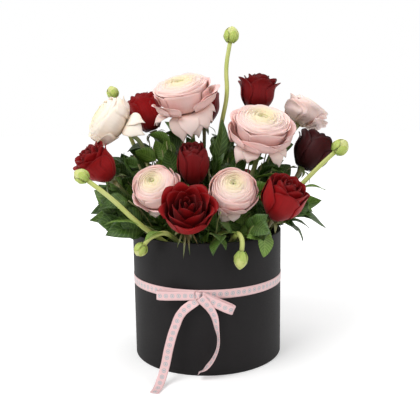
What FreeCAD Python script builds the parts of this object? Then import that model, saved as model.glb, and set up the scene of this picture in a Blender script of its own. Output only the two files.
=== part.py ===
import FreeCAD
import Part

import os
from collections import namedtuple
from functools import lru_cache
from math import cos, radians, sin, sqrt, tan

Vector = FreeCAD.Vector
Rotation = FreeCAD.Rotation
Placement = FreeCAD.Placement

# Frame: millimetres, +Z up, -Y to the front, origin at the centre of the box's underside.

# Round hat box of grey board covered with black paper
box_radius = 90.0
box_height = 152.0
board_thickness = 2.0
base_board_thickness = 2.5
paper_thickness = 0.4
turn_in_depth = 22.0
base_paper_setback = 1.5
glue_gap = 0.05

# Plastic liner pot and the wet foam brick inside it
liner_clearance = 0.6
liner_wall = 1.0
liner_below_rim = 9.0
foam_clearance = 0.3
foam_below_rim = 12.0
foam_chamfer = 2.0
seat_gap = 0.1

# Satin ribbon tied round the box
ribbon_width = 10.0
ribbon_thickness = 0.4
ribbon_height = 95.0
knot_offset = -10.0
knot_radius = 3.2
knot_height = 9.0
knot_rounding = 1.4
knot_gap = 0.1
left_loop_length = 43.0
right_loop_length = 39.0
loop_fullness = 8.0
loop_root = 2.0

# Stems
rose_stem_radius = 2.5
ranunculus_stem_radius = 2.9
bud_stem_radius = 2.4
stem_insertion = 38.0
stem_clearance = 0.25
pull_clearance = 1.0
stalk_radius = 1.1
stalk_insertion = 20.0
hole_overshoot = 8.0
bend_share = 0.45

# Petals, sepals and leaves
petal_thickness = 0.9
petal_sweep = 140.0
petal_turn = 137.5
rose_petals = 5
rose_belly_step = 2.1
rose_foot_step = 1.7
ranunculus_petals = 6
ranunculus_belly_step = 1.9
ranunculus_foot_step = 1.6
pad_bottom = 1.5
pad_top = 2.8
pad_margin = 0.4
heart_foot = 2.5
heart_gap = 0.5
neck_gap = 0.05
hip_length = 8.0
hip_radius = 5.2
collar_length = 5.0
collar_radius = 4.8
sepal_count = 5
sepal_length = 17.0
sepal_width = 5.0
sepal_droop = 42.0
leaf_thickness = 0.7
leaf_arch = 0.12
leaf_lift = 40.0
guard_arch = 0.22

# Levels and radii that follow from the sizes above
up = Vector(0, 0, 1)
origin = Vector(0, 0, 0)
wall_bottom = paper_thickness + glue_gap
wall_top = box_height - paper_thickness - glue_gap
wall_outer = box_radius - paper_thickness - glue_gap
wall_inner = wall_outer - board_thickness
turn_in_inner = wall_inner - glue_gap - paper_thickness
floor_top = wall_bottom + base_board_thickness
liner_outer = turn_in_inner - liner_clearance
liner_bottom = floor_top + seat_gap
liner_top = box_height - liner_below_rim
foam_radius = liner_outer - liner_wall - foam_clearance
foam_bottom = liner_bottom + liner_wall + seat_gap
foam_top = box_height - foam_below_rim
band_inner = box_radius + glue_gap
band_outer = band_inner + ribbon_thickness

# A flower: head centre and stem entry are measured from the foam's top centre.
# The neck is the straight length of stem just under the bloom.
Flower = namedtuple("Flower", "head facing entry radius half_height neck guards")

# A guard petal hangs from under a bloom: turn about the bloom, droop below level, length.
Guard = namedtuple("Guard", "turn droop length")

roses = [
    Flower((-125, -35, 94), (-0.60, -0.35, 0.72), (-56, -10), 22.0, 24, 24, ()),
    Flower((-75, 42, 152), (-0.35, 0.10, 0.93), (-36, 22), 23.0, 25, 24, ()),
    Flower((-15, -32, 92), (0.00, -0.35, 0.94), (-9, 16), 20.5, 26, 24, ()),
    Flower((-20, -95, 48), (0.05, -0.72, 0.70), (-12, -42), 29.0, 24, 12, ()),
    Flower((65, 38, 175), (0.10, 0.05, 0.99), (22, 18), 23.0, 25, 24, ()),
    Flower((129, 5, 104), (0.55, 0.25, 0.80), (60, 2), 25.0, 25, 24, ()),
    Flower((85, -64, 56), (0.35, -0.40, 0.85), (50, -36), 27.0, 26, 16, ()),
    Flower((-2, 58, 159), (0.00, 0.25, 0.96), (-10, 44), 22.0, 24, 24, ()),
    Flower((-56, 72, 56), (-0.40, 0.60, 0.70), (-24, 34), 22.0, 24, 22, ()),
    Flower((52, 78, 50), (0.40, 0.60, 0.70), (30, 50), 22.0, 24, 22, ()),
]

ranunculus = [
    Flower((-26, 0, 173), (-0.15, -0.25, 0.95), (-22, 2), 35.0, 22, 34,
           (Guard(-125, 40, 30), Guard(-85, 42, 30), Guard(-35, 30, 28))),
    Flower((-115, 0, 143), (-0.80, -0.25, 0.55), (-50, 10), 30.0, 20, 26,
           (Guard(-60, 45, 28),)),
    Flower((-57, -50, 69), (-0.25, -0.75, 0.62), (-36, -22), 26.0, 20, 24, ()),
    Flower((65, -20, 133), (0.10, -0.50, 0.86), (26, 0), 35.0, 22, 32,
           (Guard(-130, 42, 32), Guard(-40, 42, 32))),
    Flower((30, -62, 66), (0.02, -0.75, 0.66), (14, -20), 26.0, 20, 24, ()),
    Flower((125, 50, 150), (0.50, 0.15, 0.85), (38, 32), 27.0, 18, 26, ()),
    Flower((-2, 92, 52), (0.00, 0.75, 0.66), (2, 60), 25.0, 19, 16, ()),
    Flower((98, 48, 52), (0.70, 0.40, 0.60), (50, 16), 25.0, 19, 22, ()),
]


def on_foam(x, y, z=0.0):
    return Vector(x, y, foam_top + z)


def past_rim(bearing, standoff, rise):
    """Point beside the rim: bearing from +X, distance outside the wall, height over the rim."""
    reach = box_radius + standoff
    return Vector(reach * cos(radians(bearing)), reach * sin(radians(bearing)), box_height + rise)


# A bud: stem points from the foam up, head radius, head length, and an optional leaf on the stem
# given by its root, its tip and its width.
Bud = namedtuple("Bud", "stem radius length leaf")

buds = [
    Bud([on_foam(6, 2), on_foam(17, 12, 128), on_foam(27, 16, 172), on_foam(25, 18, 205),
         on_foam(31, 20, 236)], 9.0, 17.0, None),
    Bud([on_foam(54, -16), on_foam(100, -28, 56), on_foam(132, -32, 90), on_foam(150, -31, 106)],
        9.5, 17.0, (on_foam(104, -29, 60), on_foam(138, -34, 62), 15.0)),
    Bud([on_foam(-40, -50), on_foam(-72, -72, 28), on_foam(-104, -78, 62), on_foam(-130, -77, 82)],
        8.0, 15.0, (on_foam(-73, -72, 29), on_foam(-113, -70, 30), 13.0)),
    Bud([on_foam(-26, -50), past_rim(-121, -1, 11), past_rim(-127, 13, 6), past_rim(-131, 16, -4)],
        7.5, 14.0, (past_rim(-122, 1, 11), past_rim(-126, 24, 4), 13.0)),
    Bud([on_foam(24, -56), past_rim(-68, 0.5, 11), past_rim(-68.5, 16, 6), past_rim(-70, 18, -9)],
        7.5, 17.0, (past_rim(-69, 2, 11), past_rim(-86, 9, 5), 14.0)),
    Bud([on_foam(-48, 38), on_foam(-102, 50, 136), on_foam(-115, 50, 164)], 7.5, 14.0, None),
]

# A sprig: stalk points from the foam up, the tip of its end leaf, that leaf's width,
# and how far its two side leaves open from the stalk, in degrees.
Sprig = namedtuple("Sprig", "stalk tip width opening")

foliage = {
    "foliage_left": [
        Sprig([on_foam(-66, -18), on_foam(-80, -38, 28), on_foam(-88, -48, 46)],
              on_foam(-122, -60, 45), 20.0, 55.0),
        Sprig([on_foam(-60, 8), on_foam(-72, -2, 45), on_foam(-80, -12, 76)],
              on_foam(-96, -18, 106), 13.0, 0.0),
    ],
    "foliage_front": [
        Sprig([on_foam(44, -54), past_rim(-54, -6, 12), past_rim(-53, 12, 10)],
              past_rim(-57, 22, -15), 22.0, 60.0),
        Sprig([on_foam(-22, -30), on_foam(-18, -38, 34), on_foam(-15, -43, 54)],
              on_foam(-20, -60, 72), 13.0, 0.0),
    ],
    "foliage_right": [
        Sprig([on_foam(67, -10), past_rim(-13, -4, 9), past_rim(-17, 10, 11)],
              past_rim(-23, 30, -8), 17.0, 60.0),
        Sprig([on_foam(64, 24), past_rim(20.5, -5, 9), past_rim(20.5, 13, 13)],
              past_rim(20, 32, 2), 17.0, 60.0),
    ],
    "foliage_middle": [
        Sprig([on_foam(38, -16), on_foam(48, -25, 36), on_foam(55, -32, 60)],
              on_foam(78, -45, 78), 18.0, 0.0),
        Sprig([on_foam(0, -4), on_foam(5, -9, 50), on_foam(11, -10, 88)],
              on_foam(20, -8, 144), 19.0, 45.0),
    ],
    "foliage_back_left": [
        Sprig([on_foam(-58, 32), past_rim(150, -5, 10), past_rim(148, 12, 13)],
              past_rim(147, 34, -4), 18.0, 60.0),
        Sprig([on_foam(-22, 62), past_rim(109, -5, 10), past_rim(108, 12, 13)],
              past_rim(108, 30, -6), 17.0, 60.0),
    ],
    "foliage_back_right": [
        Sprig([on_foam(24, 64), past_rim(71, -5, 10), past_rim(73, 12, 13)],
              past_rim(74, 32, -4), 18.0, 60.0),
        Sprig([on_foam(14, 38), on_foam(12, 50, 50), on_foam(16, 62, 92)],
              on_foam(24, 72, 126), 15.0, 50.0),
    ],
}


def unit(vector):
    return vector * (1.0 / vector.Length)


def polygon_face(points):
    return Part.Face(Part.makePolygon(points + points[:1]))


def spun(points, angle=360.0):
    """Solid of revolution about Z of a closed outline in the XZ plane."""
    return polygon_face(points).revolve(origin, up, angle)


def ring(inner, outer, bottom, top):
    corners = [(inner, bottom), (outer, bottom), (outer, top), (inner, top)]
    return spun([Vector(r, 0, z) for r, z in corners])


def disc(radius, bottom, top):
    return Part.makeCylinder(radius, top - bottom, Vector(0, 0, bottom))


def smooth_edge(points):
    curve = Part.BSplineCurve()
    curve.interpolate(points)
    return curve.toShape()


def one_solid(shapes, name):
    joined = shapes[0].multiFuse(shapes[1:]) if len(shapes) > 1 else shapes[0]
    solids = joined.Solids
    if len(solids) != 1 or not solids[0].isValid():
        raise ValueError(f"{name}: {len(solids)} solids")
    return solids[0]


def aimed(shape, place, direction):
    """Copy of a shape whose +Z is turned to a direction and whose origin goes to a place."""
    copy = shape.copy()
    copy.Placement = Placement(place, Rotation(up, direction)).multiply(copy.Placement)
    return copy


def rounded_path(points):
    """Straight runs joined by tangent arcs, each as large as its two runs allow."""
    edges = []
    start = points[0]
    for before, corner, after in zip(points, points[1:], points[2:]):
        arriving = unit(corner - before)
        leaving = unit(after - corner)
        half_turn = arriving.getAngle(leaving) / 2
        reach = bend_share * min((corner - before).Length, (after - corner).Length)
        bend_radius = reach / tan(half_turn)
        inside = unit(leaving - arriving)
        first = corner - arriving * reach
        middle = corner + inside * (bend_radius / cos(half_turn) - bend_radius)
        last = corner + leaving * reach
        edges.append(Part.makeLine(start, first))
        edges.append(Part.Arc(first, middle, last).toShape())
        start = last
    edges.append(Part.makeLine(start, points[-1]))
    return Part.Wire(edges)


def rod(points, radius):
    path = rounded_path(points)
    section = Part.Wire(Part.Circle(points[0], points[1] - points[0], radius).toShape())
    return path.makePipeShell([section], True, False)


def blade(length, width, thickness, arch):
    """Arched leaf or petal along +X from the origin, pointed at both ends, arched towards +Z."""
    rise = arch * length
    bend_radius = (length ** 2 / 4 + rise ** 2) / (2 * rise)
    root = Vector(0, 0, -length)
    tip = Vector(length, 0, -length)
    widest = Vector(0.45 * length, width / 2, -length)
    mirrored = Vector(widest.x, -widest.y, widest.z)
    outline = Part.Wire([Part.Arc(root, widest, tip).toShape(), Part.Arc(tip, mirrored, root).toShape()])
    prism = Part.Face(outline).extrude(Vector(0, 0, 2 * length))
    middle = Vector(length / 2, -width, rise - bend_radius)
    across = Vector(0, 1, 0)
    outer = Part.makeCylinder(bend_radius, 2 * width, middle, across)
    inner = Part.makeCylinder(bend_radius - thickness, 2 * width, middle, across)
    upper_half = Part.makeBox(3 * length, 2 * width, 2 * length, Vector(-length, -width, -length / 3))
    return outer.cut(inner).common(prism).common(upper_half)


def laid_blade(root, tip, width, thickness, arch, face=up):
    """Blade from a root point to a tip point, with its arched side turned towards face."""
    along = unit(tip - root)
    across = unit(face.cross(along))
    leaf = blade((tip - root).Length, width, thickness, arch)
    leaf.Placement = Placement(root, Rotation(along, across, along.cross(across), "XYZ"))
    return leaf


# Box and liner


def make_cover_paper():
    outline = [
        (box_radius - paper_thickness, wall_bottom),
        (box_radius, wall_bottom),
        (box_radius, box_height),
        (turn_in_inner, box_height),
        (turn_in_inner, box_height - turn_in_depth),
        (turn_in_inner + paper_thickness, box_height - turn_in_depth),
        (turn_in_inner + paper_thickness, box_height - paper_thickness),
        (box_radius - paper_thickness, box_height - paper_thickness),
    ]
    return spun([Vector(r, 0, z) for r, z in outline])


def make_liner_pot():
    inner = liner_outer - liner_wall
    outline = [
        (0, liner_bottom),
        (liner_outer, liner_bottom),
        (liner_outer, liner_top),
        (inner, liner_top),
        (inner, liner_bottom + liner_wall),
        (0, liner_bottom + liner_wall),
    ]
    return spun([Vector(r, 0, z) for r, z in outline])


def bored_rod(points, radius, depth):
    """Straight hole that a stem fills, from its foot in the foam to above the foam's top."""
    heading = unit(points[1] - points[0])
    foot = points[0] - heading * (depth + pull_clearance)
    return Part.makeCylinder(radius + stem_clearance, depth + hole_overshoot, foot, heading)


def make_foam():
    outline = [
        (0, foam_bottom),
        (foam_radius, foam_bottom),
        (foam_radius, foam_top - foam_chamfer),
        (foam_radius - foam_chamfer, foam_top),
        (0, foam_top),
    ]
    brick = spun([Vector(r, 0, z) for r, z in outline])
    holes = [bored_rod(stem_points(flower)[1:], rose_stem_radius, stem_insertion) for flower in roses]
    for flower in ranunculus:
        holes.append(bored_rod(stem_points(flower)[1:], ranunculus_stem_radius, stem_insertion))
    for bud in buds:
        holes.append(bored_rod(bud.stem, bud_stem_radius, stem_insertion))
    for sprigs in foliage.values():
        holes.extend(bored_rod(sprig.stalk, stalk_radius, stalk_insertion) for sprig in sprigs)
    return brick.cut(holes)


# Ribbon


def make_knot():
    barrel = Part.makeCylinder(knot_radius, knot_height)
    barrel = barrel.makeFillet(knot_rounding, [edge for edge in barrel.Edges if len(edge.Vertexes) == 1])
    barrel.translate(Vector(knot_offset, knot_front, ribbon_height - knot_height / 2))
    return barrel


def make_loop(length, root, heading, width_way):
    """Flattened loop of ribbon that leaves the knot along a heading."""
    bend = loop_fullness / 2
    start = loop_root / 2
    far = length - bend
    inner_start = 6 * loop_root
    inner_bend = bend - ribbon_thickness
    inner_half = start + (bend - start) * inner_start / far - ribbon_thickness

    def wedge(near, half, turn_radius):
        corners = [Vector(near, -half, 0), Vector(far, -turn_radius, 0),
                   Vector(far, turn_radius, 0), Vector(near, half, 0)]
        tip = Vector(far + turn_radius, 0, 0)
        return Part.Wire([
            Part.makeLine(corners[0], corners[1]),
            Part.Arc(corners[1], tip, corners[2]).toShape(),
            Part.makeLine(corners[2], corners[3]),
            Part.makeLine(corners[3], corners[0]),
        ])

    strip = Part.Face(wedge(0, start, bend)).extrude(Vector(0, 0, ribbon_width))
    hollow = Part.Face(wedge(inner_start, inner_half, inner_bend)).extrude(Vector(0, 0, ribbon_width))
    loop = strip.cut(hollow)
    loop.translate(Vector(0, 0, -ribbon_width / 2))
    along = unit(heading)
    across = unit(width_way.cross(along))
    loop.Placement = Placement(root, Rotation(along, across, along.cross(across), "XYZ"))
    return loop


def make_tail(points, twists):
    """Ribbon strip along points; each twist turns the strip from facing the front to edge on."""
    sections = []
    front = Vector(0, -1, 0)
    for index, point in enumerate(points):
        before = points[max(index - 1, 0)]
        after = points[min(index + 1, len(points) - 1)]
        along = unit(after - before)
        lying = unit(along.cross(up)) if abs(along.z) < 0.5 else unit(along.cross(front))
        facing = along.cross(lying)
        turn = radians(twists[index])
        side = lying * cos(turn) + facing * sin(turn)
        normal = along.cross(side)
        half = side * (ribbon_width / 2)
        depth = normal * (ribbon_thickness / 2)
        corners = [point - half - depth, point + half - depth, point + half + depth, point - half + depth]
        sections.append(Part.makePolygon(corners + corners[:1]))
    return Part.makeLoft(sections, True, False)


# Flowers


def petal(foot, belly, lip, height):
    """Cupped petal facing +X, with its lip rounded down at both sides."""
    outer = [
        Vector(foot, 0, pad_bottom),
        Vector(foot + 0.8 * (belly - foot), 0, 0.26 * height),
        Vector(belly, 0, 0.6 * height),
        Vector(lip, 0, height),
    ]
    inner = [point - Vector(petal_thickness, 0, 0) for point in outer]
    wall = Part.Face(Part.Wire([
        smooth_edge(outer),
        Part.makeLine(outer[-1], inner[-1]),
        smooth_edge(inner[::-1]),
        Part.makeLine(inner[0], outer[0]),
    ]))
    cup = wall.revolve(origin, up, petal_sweep)
    cup.rotate(origin, up, -petal_sweep / 2)
    reach = 1.2 * max(belly, lip)
    shoulder = 0.62 * height
    sides = [Vector(0, y, z) for y, z in ((-reach, 0), (-reach, shoulder), (reach, shoulder), (reach, 0))]
    crown = Part.Wire([
        Part.makeLine(sides[0], sides[1]),
        Part.Arc(sides[1], Vector(0, 0, height), sides[2]).toShape(),
        Part.makeLine(sides[2], sides[3]),
        Part.makeLine(sides[3], sides[0]),
    ])
    return cup.common(Part.Face(crown).extrude(Vector(reach, 0, 0)))


def heart(belly, height, tip_share):
    """Closed middle of a bloom, inside its last petal."""
    side = [
        Vector(heart_foot, 0, pad_bottom),
        Vector(0.85 * belly, 0, 0.3 * height),
        Vector(belly, 0, 0.6 * height),
        Vector(tip_share * belly, 0, 0.9 * height),
        Vector(0, 0, 0.96 * height),
    ]
    outline = Part.Wire([
        smooth_edge(side),
        Part.makeLine(side[-1], Vector(0, 0, pad_bottom)),
        Part.makeLine(Vector(0, 0, pad_bottom), side[0]),
    ])
    return Part.Face(outline).revolve(origin, up, 360)


def bloom_pad(foot):
    edge = foot + pad_margin
    outline = [(0, 0), (0.7 * foot, 0), (edge, pad_bottom), (edge, pad_top), (0, pad_top)]
    return spun([Vector(r, 0, z) for r, z in outline])


@lru_cache
def rose_bloom(reach, height):
    foot = 0.48 * reach
    pieces = [bloom_pad(foot)]
    for index in range(rose_petals):
        share = index / (rose_petals - 1)
        cup = petal(foot - index * rose_foot_step, 0.93 * reach - index * rose_belly_step,
                    reach * (1 - 0.5 * share), height * (0.8 + 0.2 * share))
        cup.rotate(origin, up, index * petal_turn)
        pieces.append(cup)
    pieces.append(heart(0.93 * reach - rose_petals * rose_belly_step - heart_gap, height, 0.5))
    return one_solid(pieces, "rose bloom")


@lru_cache
def ranunculus_bloom(reach, height, guards):
    foot = 0.5 * reach
    pieces = [bloom_pad(foot)]
    for index in range(ranunculus_petals):
        share = index / (ranunculus_petals - 1)
        cup = petal(foot - index * ranunculus_foot_step, 0.97 * reach - index * ranunculus_belly_step,
                    reach * (1 - 0.62 * share), height * (0.76 + 0.24 * share))
        cup.rotate(origin, up, index * petal_turn)
        pieces.append(cup)
    pieces.append(heart(0.97 * reach - ranunculus_petals * ranunculus_belly_step - heart_gap, height, 0.6))
    for guard in guards:
        hang = blade(guard.length, 0.85 * guard.length, petal_thickness, guard_arch)
        hang.rotate(origin, Vector(0, 1, 0), guard.droop)
        hang.translate(Vector(0.72 * foot, 0, pad_bottom + petal_thickness))
        hang.rotate(origin, up, guard.turn)
        pieces.append(hang)
    return one_solid(pieces, "ranunculus bloom")


def stem_points(flower):
    """Foot in the foam, entry, knee under the neck, and the underside of the bloom."""
    entry = on_foam(*flower.entry)
    facing = unit(Vector(*flower.facing))
    seat = on_foam(*flower.head) - facing * flower.half_height
    knee = seat - facing * flower.neck
    heading = unit(knee - entry)
    return [entry - heading * stem_insertion, entry, knee, seat]


def make_stem(flower, radius, name, with_sepals):
    foot, _, knee, seat = stem_points(flower)
    facing = unit(seat - knee)
    top = seat - facing * neck_gap
    length = hip_length if with_sepals else collar_length
    swell = hip_radius if with_sepals else collar_radius
    outline = [(0, -length), (radius, -length), (swell, -0.45 * length), (swell, 0), (0, 0)]
    pieces = [spun([Vector(r, 0, z) for r, z in outline])]
    if with_sepals:
        for index in range(sepal_count):
            sepal = blade(sepal_length, sepal_width, leaf_thickness, guard_arch)
            sepal.rotate(origin, Vector(0, 1, 0), sepal_droop)
            sepal.translate(Vector(0.6 * hip_radius, 0, -0.25 * hip_length))
            sepal.rotate(origin, up, index * 360.0 / sepal_count)
            pieces.append(sepal)
    pieces = [aimed(piece, top, facing) for piece in pieces]
    pieces.append(rod([foot, knee, top - facing * length / 2], radius))
    return one_solid(pieces, name)


def make_bud(bud, name):
    heading = unit(bud.stem[1] - bud.stem[0])
    points = [bud.stem[0] - heading * stem_insertion] + bud.stem[1:]
    facing = unit(points[-1] - points[-2])
    side = [
        Vector(bud_stem_radius, 0, -0.2 * bud.length),
        Vector(0.8 * bud.radius, 0, 0.02 * bud.length),
        Vector(bud.radius, 0, 0.36 * bud.length),
        Vector(0.62 * bud.radius, 0, 0.76 * bud.length),
        Vector(0, 0, bud.length),
    ]
    outline = Part.Wire([
        smooth_edge(side),
        Part.makeLine(side[-1], Vector(0, 0, side[0].z)),
        Part.makeLine(Vector(0, 0, side[0].z), side[0]),
    ])
    head = Part.Face(outline).revolve(origin, up, 360)
    pieces = [rod(points, bud_stem_radius), aimed(head, points[-1], facing)]
    if bud.leaf:
        root, tip, width = bud.leaf
        pieces.append(laid_blade(root, tip, width, leaf_thickness, leaf_arch))
    return one_solid(pieces, name)


# Foliage


def make_sprig(sprig, name):
    heading = unit(sprig.stalk[1] - sprig.stalk[0])
    points = [sprig.stalk[0] - heading * stalk_insertion] + sprig.stalk[1:]
    end = points[-1]
    along = unit(end - points[-2])
    outward = unit(Vector(end.x, end.y, leaf_lift))
    root = end - along * stalk_radius
    pieces = [rod(points, stalk_radius),
              laid_blade(root, sprig.tip, sprig.width, leaf_thickness, leaf_arch, outward)]
    if sprig.opening:
        base = end - along * (0.3 * (end - points[-2]).Length)
        leaf_length = 0.72 * (sprig.tip - end).Length
        for side in (-1, 1):
            way = Rotation(outward, side * sprig.opening).multVec(unit(sprig.tip - end))
            pieces.append(laid_blade(base, base + way * leaf_length, 0.7 * sprig.width,
                                     leaf_thickness, leaf_arch, outward))
    return one_solid(pieces, name)


# Places on the ribbon that follow from the box and the knot
knot_front = -sqrt((band_outer + knot_gap + knot_radius) ** 2 - knot_offset ** 2)
knot_centre = Vector(knot_offset, knot_front, ribbon_height)
left_root = knot_centre + Vector(-knot_radius - 0.3, 0, 0)
right_root = knot_centre + Vector(knot_radius + 0.5, -0.6, -1.2)
left_heading = Vector(-42, 5.5, -0.5)
right_heading = Vector(36, -3, -15.5)
table_lift = 1.2

left_tail_route = [
    Vector(knot_offset - 1.5, knot_front - 2.0, ribbon_height - knot_height / 2 - 0.7),
    Vector(-28.5, knot_front - 3.6, 0.8 * ribbon_height),
    Vector(-35.5, knot_front - 5.6, 0.645 * ribbon_height),
    Vector(-42.0, knot_front - 8.6, 0.43 * ribbon_height),
    Vector(-47.0, knot_front - 13.0, 0.2 * ribbon_height),
    Vector(-51.0, knot_front - 21.0, table_lift + 6.0),
    Vector(-54.0, knot_front - 30.0, table_lift + 1.2),
    Vector(-57.0, knot_front - 39.0, table_lift),
]
right_tail_route = [
    Vector(knot_offset + 2.5, knot_front - knot_radius - 0.6, ribbon_height - 1.5),
    Vector(6.0, knot_front - 4.6, 0.8 * ribbon_height),
    Vector(10.0, knot_front - 5.2, 0.62 * ribbon_height),
    Vector(11.5, knot_front - 6.0, 0.44 * ribbon_height),
    Vector(7.0, knot_front - 6.4, 0.28 * ribbon_height),
    Vector(-2.0, knot_front - 6.4, 0.15 * ribbon_height),
    Vector(-11.0, knot_front - 6.0, 0.08 * ribbon_height),
]
left_tail_twists = [0] * len(left_tail_route)
right_tail_twists = [0, 8, 25, 55, 62, 50, 40]


def make_parts():
    parts = {
        "box_wall": ring(wall_inner, wall_outer, wall_bottom, wall_top),
        "cover_paper": make_cover_paper(),
        "base_board": disc(wall_inner - glue_gap, wall_bottom, floor_top),
        "base_paper": disc(box_radius - base_paper_setback, 0, paper_thickness),
        "liner_pot": make_liner_pot(),
        "floral_foam": make_foam(),
        "ribbon_band": ring(band_inner, band_outer, ribbon_height - ribbon_width / 2,
                            ribbon_height + ribbon_width / 2),
        "ribbon_knot": make_knot(),
        "ribbon_loop_left": make_loop(left_loop_length, left_root, left_heading, up),
        "ribbon_loop_right": make_loop(right_loop_length, right_root, right_heading, up),
        "ribbon_tail_left": make_tail(left_tail_route, left_tail_twists),
        "ribbon_tail_right": make_tail(right_tail_route, right_tail_twists),
    }
    for number, flower in enumerate(roses, 1):
        parts[f"rose_{number}_stem"] = make_stem(flower, rose_stem_radius, f"rose_{number}_stem", True)
        bloom = rose_bloom(flower.radius, 2 * flower.half_height)
        parts[f"rose_{number}_bloom"] = aimed(bloom, stem_points(flower)[-1], Vector(*flower.facing))
    for number, flower in enumerate(ranunculus, 1):
        name = f"ranunculus_{number}"
        parts[name + "_stem"] = make_stem(flower, ranunculus_stem_radius, name + "_stem", False)
        bloom = ranunculus_bloom(flower.radius, 2 * flower.half_height, flower.guards)
        parts[name + "_bloom"] = aimed(bloom, stem_points(flower)[-1], Vector(*flower.facing))
    for number, bud in enumerate(buds, 1):
        parts[f"bud_{number}"] = make_bud(bud, f"bud_{number}")
    for name, sprigs in foliage.items():
        parts[name] = Part.makeCompound([make_sprig(sprig, name) for sprig in sprigs])
    return parts


os.makedirs("parts", exist_ok=True)
for part_name, solid in make_parts().items():
    solid.exportStep(f"parts/{part_name}.step")
    print(f"{part_name}: {len(solid.Solids)} solids, {solid.Volume / 1000:.2f} cm3")
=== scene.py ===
import math

import bpy
import numpy as np
from mathutils import Matrix, Vector
from mathutils.kdtree import KDTree


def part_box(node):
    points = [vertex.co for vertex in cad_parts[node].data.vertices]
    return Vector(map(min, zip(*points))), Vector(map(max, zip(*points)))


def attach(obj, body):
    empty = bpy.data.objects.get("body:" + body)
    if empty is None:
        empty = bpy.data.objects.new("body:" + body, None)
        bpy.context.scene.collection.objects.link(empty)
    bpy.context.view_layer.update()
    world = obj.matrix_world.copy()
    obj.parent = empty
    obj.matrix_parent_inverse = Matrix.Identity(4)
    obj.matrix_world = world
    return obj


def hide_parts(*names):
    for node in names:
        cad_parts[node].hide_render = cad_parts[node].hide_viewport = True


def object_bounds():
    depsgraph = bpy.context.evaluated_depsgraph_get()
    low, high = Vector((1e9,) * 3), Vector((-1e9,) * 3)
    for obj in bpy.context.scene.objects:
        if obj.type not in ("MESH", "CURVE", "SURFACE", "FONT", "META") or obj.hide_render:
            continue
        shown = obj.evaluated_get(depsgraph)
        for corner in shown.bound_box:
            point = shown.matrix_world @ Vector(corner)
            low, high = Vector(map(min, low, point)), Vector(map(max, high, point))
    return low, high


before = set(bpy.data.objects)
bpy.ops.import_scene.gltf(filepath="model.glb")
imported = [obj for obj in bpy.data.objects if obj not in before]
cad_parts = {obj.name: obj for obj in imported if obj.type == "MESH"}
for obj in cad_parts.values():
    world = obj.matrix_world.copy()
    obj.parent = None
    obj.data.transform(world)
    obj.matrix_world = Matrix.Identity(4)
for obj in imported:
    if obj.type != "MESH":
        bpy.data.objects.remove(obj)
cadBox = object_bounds()
mm = 0.001

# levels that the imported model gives
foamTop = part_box("floral_foam")[1][2] / mm
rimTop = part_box("cover_paper")[1][2] / mm
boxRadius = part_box("cover_paper")[1][0] / mm
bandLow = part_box("ribbon_band")[0][2] / mm
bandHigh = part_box("ribbon_band")[1][2] / mm
goldenTurn = math.radians(137.5)

print("frame loaded: foam top", round(foamTop, 1), "rim", round(rimTop, 1))


# small helpers

def unit(v):
    v = np.asarray(v, float)
    return v / np.linalg.norm(v)


def onFoam(x, y, z=0.0):
    return np.array([x, y, foamTop + z], float)


def pastRim(bearing, standoff, rise):
    reach = boxRadius + standoff
    a = math.radians(bearing)
    return np.array([reach * math.cos(a), reach * math.sin(a), rimTop + rise])


def turnTo(direction):
    turn = Vector((0, 0, 1)).rotation_difference(Vector(direction))
    return np.array(turn.to_matrix())


def ring(reach, turns, z):
    return np.stack([reach * np.cos(turns), reach * np.sin(turns), np.full(len(turns), z)], -1)


def headings(path):
    way = np.gradient(path, axis=0)
    return way / np.linalg.norm(way, axis=1)[:, None]


def distances(path):
    # along the path, from its start to each of its points
    return np.concatenate([[0], np.cumsum(np.linalg.norm(np.diff(path, axis=0), axis=1))])


def put(pts, place):
    return pts @ place[0].T + place[1]


class Skin:
    # gathers grids of points into one mesh with uv and a layer value
    def __init__(self):
        self.points = []
        self.faces = []
        self.uvs = []
        self.layers = []
        self.count = 0

    def grid(self, pts, u, v, layer, closedU=False):
        rows, cols = pts.shape[:2]
        self.points.append(pts.reshape(-1, 3))
        self.uvs.append(np.stack([u, v], -1).reshape(-1, 2))
        self.layers.append(np.full(rows * cols, layer, float))
        for i in range(rows - 1):
            for j in range(cols if closedU else cols - 1):
                a = self.count + i * cols + j
                b = self.count + i * cols + (j + 1) % cols
                self.faces.append((a, b, b + cols, a + cols))
        self.count += rows * cols

    def cap(self, ring, tip, u, v, layer):
        n = len(ring)
        self.points.append(np.asarray([tip], float))
        self.uvs.append(np.array([[u, v]]))
        self.layers.append(np.array([layer], float))
        for j in range(n):
            self.faces.append((ring[j], ring[(j + 1) % n], self.count))
        self.count += 1

    def mesh(self, name, material):
        pts = np.concatenate(self.points) * mm
        uv = np.concatenate(self.uvs)
        layer = np.concatenate(self.layers)
        me = bpy.data.meshes.new(name)
        me.from_pydata(pts.tolist(), [], self.faces)
        uvLayer = me.uv_layers.new(name="UVMap")
        loopVerts = np.empty(len(me.loops), int)
        me.loops.foreach_get("vertex_index", loopVerts)
        uvLayer.data.foreach_set("uv", uv[loopVerts].astype(np.float32).ravel())
        attr = me.attributes.new("layer", "FLOAT", "POINT")
        attr.data.foreach_set("value", layer.astype(np.float32))
        me.polygons.foreach_set("use_smooth", [True] * len(me.polygons))
        me.materials.append(material)
        me.update()
        piece = bpy.data.objects.new(name, me)
        bpy.context.scene.collection.objects.link(piece)
        return piece


def thicken(piece, thickness):
    mod = piece.modifiers.new("thickness", "SOLIDIFY")
    mod.thickness = thickness * mm
    mod.offset = 0.0
    return piece


def carry(piece, body, slot, *nodes):
    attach(piece, body)
    if nodes:
        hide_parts(*nodes)
    return piece


# materials: a socket is fed by a link or by a plain value

def newMaterial(name, shader):
    mat = bpy.data.materials.new(name)
    mat.use_nodes = True
    bsdf = mat.node_tree.nodes["Principled BSDF"]
    for key, value in shader.items():
        bsdf.inputs[key].default_value = value
    return mat, mat.node_tree, bsdf


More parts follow.
